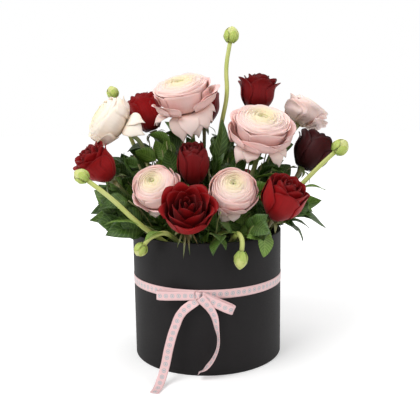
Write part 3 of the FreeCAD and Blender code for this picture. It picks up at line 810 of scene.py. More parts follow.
def petalGrid(skin, turn, place, profile, layer, rng, cols=13, rows=12):
    # from its foot over its belly to its lip, then the fold of the rim and the waves along it
    p = profile
    u, v = np.meshgrid(np.linspace(-1, 1, cols), np.linspace(0, 1, rows))
    s = v * (1 - p["round"] * np.abs(u) ** p.get("point", 2.0) - p.get("corner", 0.05) * u ** 4)
    rise = np.minimum(s / petalForm["bellyAt"], 1)
    over = np.clip((s - petalForm["bellyAt"]) / (1 - petalForm["bellyAt"]), 0, 1)
    fold = np.clip((s - petalForm["foldAt"]) / (1 - petalForm["foldAt"]), 0, 1)
    reach = p["foot"] + (p["belly"] - p["foot"]) * np.sin(math.pi / 2 * rise)
    reach = reach + (p["lip"] - p["belly"]) * over ** 2 + p["curl"] * fold ** 2
    reach = reach * (1 + p["spiral"] * u) + p["roll"] * np.abs(u) ** 3 * s ** 2
    z = p["low"] + (p["top"] - p["low"]) * s - petalForm["foldDrop"] * p["curl"] * fold ** 2.4
    outPhase, upPhase = rng.uniform(0, 6.28, 2)
    wave = math.pi * u * p["waves"]
    reach = reach + p["ruffle"] * np.sin(wave + outPhase) * s ** 3
    z = z + petalForm["sway"] * p["ruffle"] * np.cos(wave * petalForm["swayPace"] + upPhase) * s ** 4
    spread = p["width"] * (0.5 + 0.5 * np.sin(math.pi / 2 * np.minimum(1, petalForm["opening"] * s)))
    angle = turn + u * spread
    pts = np.stack([reach * np.cos(angle), reach * np.sin(angle), z], -1)
    skin.grid(put(pts, place), u, v, layer)


def graded(table, t):
    keys = np.linspace(0, 1, len(table))
    return float(np.interp(t, keys, table))


# petals from the outermost to the innermost, as shares of the bloom's radius and height
roseForm = {
    "petals": 22, "thickness": 0.35, "low": 1.5, "point": 1.5, "peak": 0.2, "shutLip": 0.35,
    "shutTop": 0.12,
    "bellyVary": (-0.03, 0.02), "topVary": (-0.03, 0.0), "turnVary": (-0.2, 0.2), "waves": (1.2, 2.4),
}
roseGrades = {
    "belly": [0.90, 0.80, 0.62, 0.38, 0.10], "lip": [0.90, 0.82, 0.58, 0.30, 0.07],
    "top": [0.84, 0.91, 0.97, 1.0, 0.97], "foot": [0.40, 0.33, 0.25, 0.15, 0.05],
    "width": [0.95, 1.0, 1.15, 1.5, 2.3], "curl": [0.16, 0.12, 0.06, 0.02, 0.0],
    "spiral": [0.03, 0.05, 0.08, 0.12, 0.2], "roll": [0.06, 0.05, 0.03, 0.0, 0.0],
    "ruffle": [0.030, 0.026, 0.020, 0.012, 0.004],
}
# the dark tone is the darkened red that paints rose 6's shade
roseSkins = {"red": roseRed, "deep": roseDeep, "dark": roseDark}


def makeRose(number, spec):
    rng = np.random.default_rng(spec["seed"])
    seat, facing = stemRoute(spec)[2:]
    place = (turnTo(facing), seat)
    reach, height, opened = spec["radius"], 2 * spec["half"], spec["open"]
    skin = Skin()
    for k in range(roseForm["petals"]):
        t = k / (roseForm["petals"] - 1)
        shut = (1 - opened) * (1 - t)
        profile = {key: graded(table, t) for key, table in roseGrades.items()}
        profile["belly"] *= 1 + rng.uniform(*roseForm["bellyVary"])
        profile["lip"] *= 1 - roseForm["shutLip"] * shut
        profile["top"] *= (1 + rng.uniform(*roseForm["topVary"])) * (1 + roseForm["shutTop"] * shut)
        profile["top"] = height * min(profile["top"], 1)
        profile["curl"] *= opened
        profile["roll"] *= opened
        profile["ruffle"] *= 0.5 + opened
        for key in ("foot", "belly", "lip", "curl", "roll", "ruffle"):
            profile[key] *= reach
        profile.update(low=roseForm["low"], round=spec.get("peak", roseForm["peak"]),
                       point=roseForm["point"], waves=rng.uniform(*roseForm["waves"]))
        turn = k * goldenTurn + rng.uniform(*roseForm["turnVary"])
        petalGrid(skin, turn, place, profile, t, rng)
    piece = skin.mesh(f"rose{number}Bloom", roseSkins[spec.get("tone", "red")])
    thicken(piece, roseForm["thickness"])
    carry(piece, f"rose_{number}", "rose_petal", f"rose_{number}_bloom")


ranunculusForms = {
    "ball": {
        "petals": 40,
        "belly": [1.0, 0.88, 0.70, 0.47, 0.20], "lip": [0.95, 0.80, 0.58, 0.33, 0.07],
        "foot": [0.46, 0.38, 0.28, 0.17, 0.06], "width": [0.85, 0.9, 1.05, 1.3, 2.0],
        "ruffle": [0.034, 0.028, 0.020, 0.012, 0.004],
        "shoulder": 0.56, "crown": 0.40, "dimple": 0.10, "uneven": 0.035,
    },
    "open": {
        "petals": 40,
        "belly": [0.88, 0.76, 0.60, 0.40, 0.18], "lip": [1.05, 0.87, 0.64, 0.37, 0.08],
        "foot": [0.42, 0.35, 0.26, 0.16, 0.06], "width": [0.75, 0.85, 1.0, 1.3, 2.0],
        "ruffle": [0.046, 0.036, 0.024, 0.013, 0.004],
        "shoulder": 0.70, "crown": 0.24, "dimple": 0.11, "uneven": 0.04,
    },
}
closedForm = {"thickness": 0.3, "packing": 0.85, "low": 1.2, "round": 0.10, "corner": 0.04, "curl": 0.02,
              "spiral": 0.025, "lipVary": (-0.03, 0.05), "turnVary": (-0.15, 0.15), "waves": (0.7, 1.5),
              "dimpleWidth": 0.16}
coreForm = {"share": 0.92, "hole": 0.04, "sink": 0.07, "inset": 0.97, "turns": 28, "rings": 14}
skirtForm = {"foot": 0.46, "low": 1.0, "round": 0.30, "spiral": 0.05, "roll": 0.05, "ruffle": 0.035,
             "layer": 0.03, "belly": (1.0, 1.06), "flare": (0.10, 0.22), "top": (0.42, 0.62),
             "width": (0.55, 0.72), "curl": (0.03, 0.12), "waves": (1.0, 1.8), "turn": 1.7,
             "turnVary": (-0.2, 0.2)}
# each guard is a pair: turn and droop away from the spec's in degrees, and share of its length
guardPair = ((0, 0, 1.0), (24, -14, 0.9))


def domeTop(form, share):
    # height of the closed petals over a bloom's radius share: a dome with a small dimple
    dome = form["shoulder"] + form["crown"] * math.sqrt(max(0.0, 1 - share ** 2))
    return dome - form["dimple"] * math.exp(-(share / closedForm["dimpleWidth"]) ** 2)


def addCore(skin, form, reach, height, place):
    # packed middle that the closed petals stand on, just under their rims
    turns = np.linspace(0, 2 * math.pi, coreForm["turns"], endpoint=False)
    shares = np.linspace(coreForm["share"], coreForm["hole"], coreForm["rings"])
    u, v = np.meshgrid(np.linspace(-1, 1, len(turns)), [0.8, 0.9])
    rings = []
    for share in shares:
        lift = height * (domeTop(form, share) - coreForm["sink"])
        rings.append(ring(reach * share * coreForm["inset"], turns, lift))
    for k in range(len(rings) - 1):
        layer = 1 - (shares[k] + shares[k + 1]) / 2
        skin.grid(put(np.array(rings[k:k + 2]), place), u, v, layer, closedU=True)


petalSkins = {"blush": blush, "pale": paleBlush, "cream": cream}


def closedPetals(skin, spec, form, reach, height, place, rng):
    for k in range(form["petals"]):
        t = (k / (form["petals"] - 1)) ** closedForm["packing"]
        profile = {key: reach * graded(form[key], t) for key in ("foot", "belly", "lip", "ruffle")}
        uneven = rng.uniform(-1, 1) * form["uneven"] * (1 - t)
        profile["top"] = height * (domeTop(form, graded(form["lip"], t)) + uneven)
        profile["lip"] *= 1 + rng.uniform(*closedForm["lipVary"])
        profile["ruffle"] *= spec.get("frill", 1.0)
        profile.update(low=closedForm["low"], width=graded(form["width"], t), round=closedForm["round"],
                       corner=closedForm["corner"], curl=closedForm["curl"] * reach * (1 - t),
                       spiral=closedForm["spiral"], roll=0.0, waves=rng.uniform(*closedForm["waves"]))
        turn = k * goldenTurn + rng.uniform(*closedForm["turnVary"])
        petalGrid(skin, turn, place, profile, t, rng, cols=11, rows=8)


def skirtPetals(skin, spec, reach, height, place, rng):
    # wide outer petals that have opened away from the closed middle
    for k in range(spec.get("skirt", 0)):
        profile = {key: reach * skirtForm[key] for key in ("foot", "roll", "ruffle")}
        profile["belly"] = reach * rng.uniform(*skirtForm["belly"])
        profile["lip"] = reach * (1 + spec.get("flare", 1.0) * rng.uniform(*skirtForm["flare"]))
        profile["top"] = height * rng.uniform(*skirtForm["top"])
        profile["width"] = rng.uniform(*skirtForm["width"])
        profile["curl"] = reach * rng.uniform(*skirtForm["curl"])
        profile.update(low=skirtForm["low"], round=skirtForm["round"], spiral=skirtForm["spiral"],
                       waves=rng.uniform(*skirtForm["waves"]))
        turn = k * goldenTurn * skirtForm["turn"]
        if "span" in spec:
            first, last = spec["span"]
            turn = math.radians(first + (last - first) * k / (spec["skirt"] - 1))
        petalGrid(skin, turn + rng.uniform(*skirtForm["turnVary"]), place, profile, skirtForm["layer"], rng)


def makeRanunculus(number, spec):
    rng = np.random.default_rng(spec["seed"])
    seat, facing = stemRoute(spec)[2:]
    place = (turnTo(facing), seat)
    reach, height = spec["radius"], 2 * spec["half"]
    form = ranunculusForms[spec.get("form", "ball")]
    skin = Skin()
    closedPetals(skin, spec, form, reach, height, place, rng)
    addCore(skin, form, reach, height, place)
    skirtPetals(skin, spec, reach, height, place, rng)
    for turn, droop, length in spec["guards"]:
        for shift, lift, share in guardPair:
            hangPetal(skin, math.radians(turn + shift), math.radians(droop + lift), length * share,
                      reach, height, place, rng)
    piece = skin.mesh(f"ranunculus{number}Bloom", petalSkins[spec.get("tone", "blush")])
    thicken(piece, closedForm["thickness"])
    carry(piece, f"ranunculus_{number}", "ranunculus_petal", f"ranunculus_{number}_bloom")


hangForm = {"grid": 17, "roundTip": 0.14, "foot": (0.38, 1.4), "bend": (1.04, 0.24), "tip": 0.36,
            "wide": 0.44, "sag": 0.05, "flutter": 0.045, "wrap": 0.07, "sway": 0.02, "layer": 0.40}


def hangPetal(skin, turn, droop, length, reach, height, place, rng):
    # broad rounded petal that follows the bloom's underside out and then folds down
    f = hangForm
    u, v = np.meshgrid(np.linspace(-1, 1, f["grid"]), np.linspace(0, 1, f["grid"]))
    edge = v * (1 - f["roundTip"] * u ** 2 * v)
    foot = (f["foot"][0] * reach, f["foot"][1])
    bend = (f["bend"][0] * reach, f["bend"][1] * height)
    tip = (f["tip"] * reach + length * math.cos(droop), -length * math.sin(droop))
    out, z = [(1 - edge) ** 2 * a + 2 * edge * (1 - edge) * b + edge ** 2 * c
              for a, b, c in zip(foot, bend, tip)]
    narrow = np.minimum(1, 0.5 + 1.1 * v) * np.sqrt(np.clip(1 - (1.01 * v) ** 6, 0.03, 1))
    y = u * f["wide"] * length * narrow
    z = z - f["sag"] * length * u ** 2 * (0.4 + v)
    z = z + f["flutter"] * length * np.sin(4 * u + rng.uniform(0, 6)) * v ** 2
    out = out - f["wrap"] * reach * u ** 2 + f["sway"] * reach * np.sin(3 * u + rng.uniform(0, 6)) * v
    cos, sin = math.cos(turn), math.sin(turn)
    pts = np.stack([out * cos - y * sin, out * sin + y * cos, z], -1)
    skin.grid(put(pts, place), u, v, f["layer"])


leafForm = {"broadAt": 0.82, "taper": 0.25, "rim": 0.95, "flutter": 0.02, "inset": 0.98, "fold": 0.22}


def leafGrid(skin, root, tip, width, face, rng, arch=0.12, teeth=9, fold=leafForm["fold"],
             layer=0.0, cols=11, notched=0.02, full=0.85):
    length = np.linalg.norm(tip - root)
    along = unit(tip - root)
    across = unit(np.cross(face, along))
    over = np.cross(along, across)
    rows = 2 * teeth + 5
    u, v = np.meshgrid(np.linspace(-1, 1, cols), np.linspace(0, 1, rows))
    shape = np.sin(math.pi * v ** leafForm["broadAt"]) ** full * (1 - leafForm["taper"] * v ** 3)
    notch = 1 - notched * ((np.arange(rows) % 2)[:, None]) * (np.abs(u) > leafForm["rim"])
    half = width / 2 * shape * notch
    lift = arch * length * np.sin(math.pi * v) + fold * np.abs(u) * half
    lift = lift + leafForm["flutter"] * length * np.sin(9 * v + rng.uniform(0, 6)) * np.abs(u)
    side = u * half * leafForm["inset"]
    pts = root + (v * length)[..., None] * along + side[..., None] * across + lift[..., None] * over
    skin.grid(pts, u, v, layer)


stemForm = {"hip": {"rose": 5.2, "ranunculus": 4.6}, "hipLength": 5.0, "taper": 0.06, "ribs": 0.02,
            "tuck": 0.2}
sepalForm = {"count": 5, "length": 17.0, "width": 4.6, "droop": 42.0, "droopVary": (-12, 8),
             "lengthVary": (0.85, 1.0), "low": 2.2, "rootShare": 0.7, "arch": 0.18, "teeth": 5, "fold": 0.3}
trailForm = {"width": 2.6, "face": [0, -0.6, 0.8], "teeth": 3, "cols": 5}


def addSepals(skin, seat, facing, swell, rng):
    turnM = turnTo(facing)
    for k in range(sepalForm["count"]):
        a = 2 * math.pi * k / sepalForm["count"]
        drop = math.radians(sepalForm["droop"] + rng.uniform(*sepalForm["droopVary"]))
        root = np.array([sepalForm["rootShare"] * swell, 0, -sepalForm["low"]])
        way = np.array([math.cos(drop), 0, -math.sin(drop)])
        tip = root + way * sepalForm["length"] * rng.uniform(*sepalForm["lengthVary"])
        spin = np.array([[math.cos(a), -math.sin(a), 0], [math.sin(a), math.cos(a), 0], [0, 0, 1]])
        leafGrid(skin, turnM @ spin @ root + seat, turnM @ spin @ tip + seat, sepalForm["width"], facing,
                 rng, arch=sepalForm["arch"], teeth=sepalForm["teeth"], fold=sepalForm["fold"])


def makeStem(kind, number, spec, material):
    rng = np.random.default_rng(spec["seed"] + 100)
    foot, knee, seat, facing = stemRoute(spec)
    skin = Skin()
    path = fillIn(bentPath([foot, knee, seat - facing * stemForm["tuck"]]))
    toGo = np.linalg.norm(path - seat, axis=1)
    swell = stemForm["hip"][kind]
    radii = stemSize[kind] * (1 - stemForm["taper"] * np.linspace(0, 1, len(path)))
    radii = radii + (swell - radii) * np.exp(-(toGo / stemForm["hipLength"]) ** 2)
    tube(skin, path, radii, ribs=stemForm["ribs"])
    if kind == "rose":
        addSepals(skin, seat, facing, swell, rng)
    for tip in spec.get("trails", []):
        # long thin sepal that hangs over the rim
        leafGrid(skin, seat - facing * sepalForm["low"], onFoam(*tip), trailForm["width"],
                 trailForm["face"], rng, teeth=trailForm["teeth"], cols=trailForm["cols"])
    piece = skin.mesh(f"{kind}{number}Stem", material)
    carry(piece, f"{kind}_{number}", "stem_green", f"{kind}_{number}_stem")


for number, spec in enumerate(roses, 1):
    makeRose(number, spec)
    makeStem("rose", number, spec, roseStemSkin)
for number, spec in enumerate(ranunculus, 1):
    makeRanunculus(number, spec)
    makeStem("ranunculus", number, spec, ranunculusStemSkin)
print("roses and ranunculus made")


# buds

buds = [
    {"stem": [onFoam(6, 2), onFoam(17, 12, 128), onFoam(27, 16, 172), onFoam(25, 18, 205),
              onFoam(31, 20, 236)],
     "radius": 9.0, "length": 17.0, "leaf": None},
    {"stem": [onFoam(54, -16), onFoam(100, -28, 56), onFoam(132, -32, 90), onFoam(150, -31, 106)],
     "radius": 9.5, "length": 17.0, "leaf": (onFoam(104, -29, 60), onFoam(138, -34, 62), 15.0)},
    {"stem": [onFoam(-40, -50), onFoam(-72, -72, 28), onFoam(-104, -78, 62), onFoam(-130, -77, 82)],
     "radius": 8.0, "length": 15.0, "leaf": (onFoam(-73, -72, 29), onFoam(-113, -70, 30), 13.0)},
    {"stem": [onFoam(-26, -50), pastRim(-121, -1, 11), pastRim(-127, 13, 6), pastRim(-131, 16, -4)],
     "radius": 7.5, "length": 14.0, "leaf": (pastRim(-122, 1, 11), pastRim(-126, 24, 4), 13.0)},
    {"stem": [onFoam(24, -56), pastRim(-68, 0.5, 11), pastRim(-68.5, 16, 6), pastRim(-70, 18, -9)],
     "radius": 7.5, "length": 17.0, "leaf": (pastRim(-69, 2, 11), pastRim(-86, 9, 5), 14.0)},
    {"stem": [onFoam(-48, 38), onFoam(-102, 50, 136), onFoam(-115, 50, 172)],
     "radius": 7.5, "length": 14.0, "leaf": None},
]
budForm = {"petals": 9, "sepals": 5, "seed": 200, "taper": 0.12, "ribs": 0.02, "ruffle": 0.02,
           "thickness": 0.35, "leafThickness": 0.4}
# shares of the bud's radius and length: the outermost petal's and the change to the innermost's
budPetalForm = {"foot": (0.45, -0.3), "belly": (0.97, -0.35), "lip": (0.28, -0.2), "top": (0.93, 0.06),
                "low": -0.14, "width": 1.15, "round": 0.12, "curl": 0.0, "spiral": 0.08}
budSepalForm = {"foot": (0.5, 0), "belly": (1.0, 0), "lip": (0.86, 0), "top": (0.62, 0), "low": -0.16,
                "width": 0.62, "round": 0.45, "curl": 0.06, "spiral": 0.03}
budPetal = petalMaterial("budPetal",
                         [(0.0, (0.42, 0.52, 0.10)), (0.45, (0.55, 0.60, 0.16)), (1.0, (0.72, 0.70, 0.34))],
                         [(0.0, (0.7, 0.85, 0.55)), (0.6, grey(1)), (1.0, (1, 1, 0.95))],
                         10.0, (0.66, 0.64, 0.40), 0.4, sheen=0.05)


def budProfile(form, t, radius, length):
    share = {key: form[key][0] + form[key][1] * t for key in ("foot", "belly", "lip", "top")}
    return {"foot": radius * share["foot"], "belly": radius * share["belly"], "lip": radius * share["lip"],
            "top": length * share["top"], "low": length * form["low"], "width": form["width"],
            "round": form["round"], "curl": radius * form["curl"], "spiral": form["spiral"], "roll": 0.0,
            "ruffle": radius * budForm["ruffle"], "waves": 1.0}


def makeBud(number, spec):
    rng = np.random.default_rng(budForm["seed"] + number)
    body = f"bud_{number}"
    heading = unit(spec["stem"][1] - spec["stem"][0])
    path = fillIn(bentPath([spec["stem"][0] - heading * stemSize["insertion"]] + spec["stem"][1:]))
    radii = stemSize["bud"] * (1 - budForm["taper"] * np.linspace(0, 1, len(path)))
    stem = Skin()
    tube(stem, path, radii, ribs=budForm["ribs"])
    carry(stem.mesh(f"bud{number}Stem", budSkin), body, "bud_green", body)
    place = (turnTo(unit(path[-1] - path[-2])), path[-1])
    size = spec["radius"], spec["length"]
    head = Skin()
    for k in range(budForm["petals"]):
        t = k / (budForm["petals"] - 1)
        profile = budProfile(budPetalForm, t, *size)
        petalGrid(head, k * goldenTurn, place, profile, 0.5 + 0.5 * t, rng, cols=9, rows=10)
    for k in range(budForm["sepals"]):
        profile = budProfile(budSepalForm, 0, *size)
        petalGrid(head, 2 * math.pi * k / budForm["sepals"], place, profile, 0.0, rng, cols=9, rows=9)
    knob = thicken(head.mesh(f"bud{number}Head", budPetal), budForm["thickness"])
    carry(knob, body, "bud_green")
    if spec["leaf"]:
        leaf = Skin()
        leafGrid(leaf, *spec["leaf"], np.array([0, 0, 1.0]), rng)
        blade = thicken(leaf.mesh(f"bud{number}Leaf", leafBright), budForm["leafThickness"])
        carry(blade, body, "leaf_green")


for number, spec in enumerate(buds, 1):
    makeBud(number, spec)
print("buds made")


# foliage: two sprigs to each node, with a stalk's route, its end leaf's tip and width, and how far
# two side leaves open from it in degrees

foliage = {
    "foliage_left": [
        ([onFoam(-66, -18), onFoam(-80, -38, 28), onFoam(-88, -48, 46)], onFoam(-122, -60, 45), 20.0, 55.0),
        ([onFoam(-60, 8), onFoam(-72, -2, 45), onFoam(-80, -12, 76)], onFoam(-96, -18, 106), 13.0, 0.0)],
    "foliage_front": [
        ([onFoam(44, -54), pastRim(-54, -6, 12), pastRim(-53, 12, 10)], pastRim(-57, 22, -15), 22.0, 60.0),
        ([onFoam(-22, -30), onFoam(-18, -38, 34), onFoam(-15, -43, 54)], onFoam(-20, -60, 72), 13.0, 0.0)],
    "foliage_right": [
        ([onFoam(67, -10), pastRim(-13, -4, 9), pastRim(-17, 10, 11)], pastRim(-23, 30, -8), 17.0, 60.0),
        ([onFoam(64, 24), pastRim(20.5, -5, 9), pastRim(20.5, 13, 13)], pastRim(20, 32, 2), 17.0, 60.0)],
    "foliage_middle": [
        ([onFoam(38, -16), onFoam(48, -25, 36), onFoam(55, -32, 60)], onFoam(78, -45, 78), 18.0, 0.0),
        ([onFoam(0, -4), onFoam(5, -9, 50), onFoam(11, -10, 88)], onFoam(20, -8, 144), 19.0, 45.0)],
    "foliage_back_left": [
        ([onFoam(-58, 32), pastRim(150, -5, 10), pastRim(148, 12, 13)], pastRim(147, 34, -4), 18.0, 60.0),
        ([onFoam(-22, 62), pastRim(109, -5, 10), pastRim(108, 12, 13)], pastRim(108, 30, -6), 17.0, 60.0)],
    "foliage_back_right": [
        ([onFoam(24, 64), pastRim(71, -5, 10), pastRim(73, 12, 13)], pastRim(74, 32, -4), 18.0, 60.0),
        ([onFoam(14, 38), onFoam(12, 50, 50), onFoam(16, 62, 92)], onFoam(24, 72, 126), 15.0, 50.0)],
}
brightNodes = {"foliage_front"}
sprigForm = {"stalkSides": 8, "outRise": 40.0, "full": 0.85, "brightFull": 0.6, "sideAt": 0.3,
             "sideLength": 0.72, "sideWidth": 0.7, "thickness": 0.45}


def rotateAbout(v, axis, degrees):
    return np.array(Matrix.Rotation(math.radians(degrees), 3, Vector(axis))) @ v


def makeFoliage(node, sprigs):
    rng = np.random.default_rng(len(node))
    bright = node in brightNodes
    stalks, leaves = Skin(), Skin()
    for route, tip, width, opening in sprigs:
        heading = unit(route[1] - route[0])
        points = [route[0] - heading * stemSize["stalkIn"]] + route[1:]
        path = fillIn(bentPath(points))
        tube(stalks, path, np.full(len(path), stemSize["stalk"]), sides=sprigForm["stalkSides"])
        end, along = points[-1], unit(points[-1] - points[-2])
        outward = unit(np.array([end[0], end[1], sprigForm["outRise"]]))
        leafGrid(leaves, end - along, tip, width, outward, rng,
                 full=sprigForm["brightFull" if bright else "full"])
        if opening:
            base = end - along * sprigForm["sideAt"] * np.linalg.norm(end - points[-2])
            length = sprigForm["sideLength"] * np.linalg.norm(tip - end)
            for side in (-1, 1):
                way = rotateAbout(unit(tip - end), outward, side * opening)
                leafGrid(leaves, base, base + way * length, sprigForm["sideWidth"] * width, outward, rng)
    name = "".join(part.capitalize() for part in node.split("_"))
    name = name[0].lower() + name[1:]
    carry(stalks.mesh(name + "Stalks", ranunculusStemSkin), "insert", "leaf_green", node)
    blades = leaves.mesh(name + "Leaves", leafBright if bright else leafDark)
    carry(thicken(blades, sprigForm["thickness"]), "insert", "leaf_green")


for node, sprigs in foliage.items():
    makeFoliage(node, sprigs)
print("foliage made")


# leaves that fill in between and under the blooms, clear of every flower's path

filler = {"sprigs": 300, "tries": 14000, "seed": 71, "out": 92.0, "outShare": (0.04, 1.3),
          "lowRise": (8, 40), "highRise": (30, 128), "startMost": 76, "startShare": 0.8,
          "startTurn": (-0.3, 0.3), "kneeAt": 0.6, "kneeRise": 0.16, "leanOut": (0.5, 1.2),
          "leanUp": (-0.35, 0.75), "around": (-1.3, 1.3), "faceUp": (0.3, 0.9), "faceOut": (0.3, 1.1),
          "stalk": 0.8, "stalkIn": 8.0, "bendSteps": 5, "gap": 8.0, "length": (27, 46), "share": 0.70,
          "sideShare": 0.78, "arch": 0.10, "lightShare": 0.28, "turnVary": (-10, 10), "thickness": 0.4,
          "leaves": ((0, 1.0), (-62, 0.96), (62, 0.96), (-70, 0.6), (70, 0.6))}
# room kept round heads and stems as they are pulled, and round the box's rim
keep = {"clear": 2.0, "pulls": (0, 10, 20, 30, 40), "under": 4.0, "underGuards": 12.0, "power": 3,
        "stem": 0.6, "budAhead": 7, "budSpare": 2, "inside": 84.0, "overRim": 4.0, "outside": 2}
# ways from which a bloom is looked at, and the share of its radius that stays open to them
sight = {"camera": np.array([0, -0.985, 0.17]), "cameraShare": 0.9, "behind": 20,
         "middle": onFoam(0, 0, 30), "farOut": 45, "raise": 0.2, "share": 0.85, "hemDrop": 0.9,
         "hemShare": 0.55}


def lookWays(spec):
    head, radius = onFoam(*spec["head"]), spec["radius"]
    flat = np.array([head[0], head[1], 0.0])
    ahead = unit(flat) if np.linalg.norm(flat) > sight["farOut"] else np.array([0, -1.0, 0])
    looks = [(head, unit(head - sight["middle"]), radius * sight["share"]),
             (head, unit(ahead + np.array([0, 0, sight["raise"]])), radius * sight["share"])]
    if head[1] < sight["behind"]:
        looks.append((head, sight["camera"], radius * sight["cameraShare"]))
        if spec.get("guards"):
            hem = head - np.array([0, 0, sight["hemDrop"] * radius])
            looks.append((hem, sight["camera"], radius * sight["hemShare"]))
    return looks


def keepOuts():
    # flattened balls round the heads and points along the stems, at rest and pulled,
    # and for each bloom the ways from which it is looked at
    balls, stems, looks = [], [], []
    for spec in roses + ranunculus:
        foot, knee, seat, facing = stemRoute(spec)
        pull = unit(knee - foot)
        low = keep["underGuards"] if spec.get("guards") else keep["under"]
        middle = onFoam(*spec["head"]) - facing * low
        path = fillIn(bentPath([foot, knee, seat]))
        for far in keep["pulls"]:
            balls.append((middle + pull * far, facing, spec["radius"], spec["half"] + low))
            stems.append(path + pull * far)
        looks += lookWays(spec)
    for spec in buds:
        pull = unit(spec["stem"][1] - spec["stem"][0])
        path = fillIn(bentPath(spec["stem"]))
        ahead = unit(path[-1] - path[-2])
        middle = path[-1] + ahead * keep["budAhead"]
        for far in keep["pulls"]:
            balls.append((middle + pull * far, ahead, spec["radius"],
                          spec["length"] / 2 + keep["budSpare"]))
            stems.append(path + pull * far)
    return balls, pointTree(np.concatenate(stems)), looks


def pointTree(points):
    tree = KDTree(len(points))
    for k, point in enumerate(points):
        tree.insert(point, k)
    tree.balance()
    return tree


def highAndFlat(pts, middle, way):
    # how far points lie along a way from the middle, and how far from its line
    rel = pts - middle
    high = rel @ way
    return high, np.linalg.norm(rel - high[:, None] * way, axis=1)


def isClear(pts, balls, stems, looks):
    for head, way, radius in looks:
        high, flat = highAndFlat(pts, head, way)
        if np.any((high > 0) & (flat < radius)):
            return False
    for middle, facing, radius, half in balls:
        high, flat = highAndFlat(pts, middle, facing)
        wide, tall = flat / (radius + keep["clear"]), np.abs(high / (half + keep["clear"]))
        if np.any(wide ** keep["power"] + tall ** keep["power"] < 1):
            return False
    if np.any(pts * mm < cadBox[0]) or np.any(pts * mm > cadBox[1]):
        return False
    flat = np.linalg.norm(pts[:, :2], axis=1)
    under = pts[:, 2] < rimTop + keep["overRim"]
    if np.any(under & (flat > keep["inside"]) & (flat < boxRadius + keep["outside"])):
        return False
    room = stemSize["ranunculus"] + keep["clear"] + keep["stem"]
    return all(stems.find(point)[2] >= room for point in pts)


def leafPoints(root, tip, width, face):
    # points of a leaf that is about to grow, with its arch and its fold
    across = unit(np.cross(face, tip - root)) * width / 2
    over = unit(np.cross(tip - root, across))
    lift = over * filler["arch"] * np.linalg.norm(tip - root)
    fold = over * leafForm["fold"] * width / 2
    spine = [root + (tip - root) * k + lift * math.sin(math.pi * k) for k in (0.15, 0.35, 0.6, 0.85, 1.0)]
    sides = [p + across * w + fold * abs(w) for p in spine[:4] for w in (-0.95, -0.5, 0.5, 0.95)]
    return np.array(spine + sides)


def sprigRoute(rng, rise):
    # a stalk's start, knee and end, and the way in which its leaves lean and face
    bearing = rng.uniform(0, 2 * math.pi)
    out = math.sqrt(rng.uniform(*filler["outShare"])) * filler["out"]
    rise = rng.uniform(*rise)
    turn = bearing + rng.uniform(*filler["startTurn"])
    near = min(out, filler["startMost"]) * filler["startShare"]
    start = onFoam(near * math.cos(turn), near * math.sin(turn))
    end = onFoam(out * math.cos(bearing), out * math.sin(bearing), rise)
    knee = start + (end - start) * filler["kneeAt"] + np.array([0, 0, filler["kneeRise"] * rise])
    outward = np.array([math.cos(bearing), math.sin(bearing), 0])
    lean = outward * rng.uniform(*filler["leanOut"]) + np.array([0, 0, rng.uniform(*filler["leanUp"])])
    around = np.array([-outward[1], outward[0], 0]) * rng.uniform(*filler["around"])
    upward = np.array([0, 0, rng.uniform(*filler["faceUp"])])
    face = unit(upward + outward * rng.uniform(*filler["faceOut"]) + around)
    return start, knee, end, unit(lean), face


def makeFiller():
    rng = np.random.default_rng(filler["seed"])
    blocked = keepOuts()
    stalks, dark, light = Skin(), Skin(), Skin()
    made = leaves = 0
    for attempt in range(filler["tries"]):
        if made == filler["sprigs"]:
            break
        rise = filler["lowRise"] if attempt % 2 else filler["highRise"]
        start, knee, end, lean, face = sprigRoute(rng, rise)
        path = fillIn(bentPath([start, knee, end], steps=filler["bendSteps"]), gap=filler["gap"])
        if not isClear(path[1:], *blocked):
            continue
        length = rng.uniform(*filler["length"])
        skin = light if rng.uniform() < filler["lightShare"] else dark
        grown = 0
        for spread, along in filler["leaves"]:
            way = rotateAbout(lean, face, spread + rng.uniform(*filler["turnVary"]))
            size = length * (1.0 if spread == 0 else filler["sideShare"])
            root = path[round(along * (len(path) - 1))]
            tip = root + way * size
            wide = size * filler["share"]
            if isClear(leafPoints(root, tip, wide, face)[1:], *blocked):
                leafGrid(skin, root, tip, wide, face, rng, arch=filler["arch"], teeth=1,
                         layer=rng.uniform(), cols=5, notched=0.0)
                grown += 1
        if grown:
            below = start - unit(knee - start) * filler["stalkIn"]
            tube(stalks, np.concatenate([[below], path]), np.full(len(path) + 1, filler["stalk"]), sides=6)
            made += 1
            leaves += grown
    print("filler sprigs", made, "leaves", leaves)
    carry(stalks.mesh("fillerStalks", ranunculusStemSkin), "insert", "leaf_green")
    carry(thicken(dark.mesh("fillerLeavesDark", leafDark), filler["thickness"]), "insert", "leaf_green")
    carry(thicken(light.mesh("fillerLeavesLight", leafMid), filler["thickness"]), "insert", "leaf_green")


leafMid = leafMaterial("leafMid", (0.075, 0.155, 0.014), (0.21, 0.32, 0.07))
makeFiller()


# prickles on the rose stems

prickle = {"perSquareMetre": 9000.0, "length": 2.2, "radius": 0.55, "seed": 5, "coneSides": 7,
           "start": 12, "short": 16, "rings": 8, "sides": 10, "sink": 0.95}


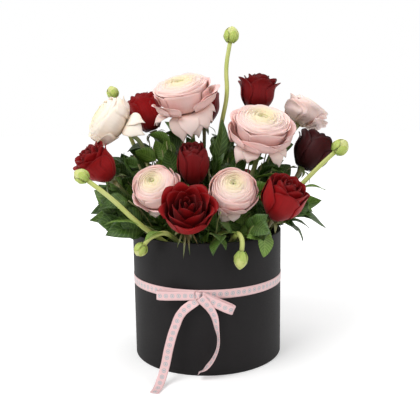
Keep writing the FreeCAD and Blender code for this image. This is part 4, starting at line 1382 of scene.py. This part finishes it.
def makePrickleTree():
    tree = bpy.data.node_groups.new("stemPrickles", "GeometryNodeTree")
    face = tree.interface
    for name, kind in (("Geometry", "Geometry"), ("Density", "Float"), ("Length", "Float"),
                       ("Radius", "Float"),
                       ("Seed", "Int"), ("Skin", "Material")):
        face.new_socket(name, in_out="INPUT", socket_type="NodeSocket" + kind)
    face.new_socket("Geometry", in_out="OUTPUT", socket_type="NodeSocketGeometry")
    given = tree.nodes.new("NodeGroupInput").outputs
    scatter = addNode(tree, "GeometryNodeDistributePointsOnFaces", Mesh=given["Geometry"],
                      Density=given["Density"], Seed=given["Seed"])
    cone = addNode(tree, "GeometryNodeMeshCone", Vertices=prickle["coneSides"], Depth=given["Length"],
                   Radius_Bottom=given["Radius"])
    spread = addNode(tree, "GeometryNodeInstanceOnPoints", Points=scatter.outputs["Points"],
                     Rotation=scatter.outputs["Rotation"], Instance=cone.outputs["Mesh"])
    realize = addNode(tree, "GeometryNodeRealizeInstances", Geometry=spread.outputs["Instances"])
    paint = addNode(tree, "GeometryNodeSetMaterial", Geometry=realize.outputs["Geometry"],
                    Material=given["Skin"])
    addNode(tree, "NodeGroupOutput", Geometry=paint.outputs["Geometry"])
    return tree


prickleTree = makePrickleTree()
prickleSkin = stemMaterial("prickleSkin", (0.22, 0.10, 0.05), (0.30, 0.18, 0.08))


def makePrickles(number, spec):
    foot, knee = stemRoute(spec)[:2]
    heading = unit(knee - foot)
    first = onFoam(*spec["entry"]) + heading * prickle["start"]
    reach = knee - onFoam(*spec["entry"]) - heading * prickle["short"]
    path = np.array([first + reach * k for k in np.linspace(0, 1, prickle["rings"])])
    skin = Skin()
    tube(skin, path, np.full(len(path), stemSize["rose"] * prickle["sink"]), sides=prickle["sides"])
    bare = skin.mesh("prickleBase", prickleSkin)
    mod = bare.modifiers.new("prickles", "NODES")
    mod.node_group = prickleTree
    values = {"Density": prickle["perSquareMetre"], "Length": prickle["length"] * mm,
              "Radius": prickle["radius"] * mm, "Seed": prickle["seed"] + number, "Skin": prickleSkin}
    for item in prickleTree.interface.items_tree:
        if item.in_out == "INPUT" and item.name in values:
            mod[item.identifier] = values[item.name]
    depsgraph = bpy.context.evaluated_depsgraph_get()
    shape = bpy.data.meshes.new_from_object(bare.evaluated_get(depsgraph))
    bpy.data.objects.remove(bare)
    if len(shape.polygons) == 0:
        return
    shape.name = f"rose{number}Prickles"
    piece = bpy.data.objects.new(shape.name, shape)
    bpy.context.scene.collection.objects.link(piece)
    carry(piece, f"rose_{number}", "stem_green")


for number, spec in enumerate(roses, 1):
    makePrickles(number, spec)
print("prickles made")

bpy.context.view_layer.update()
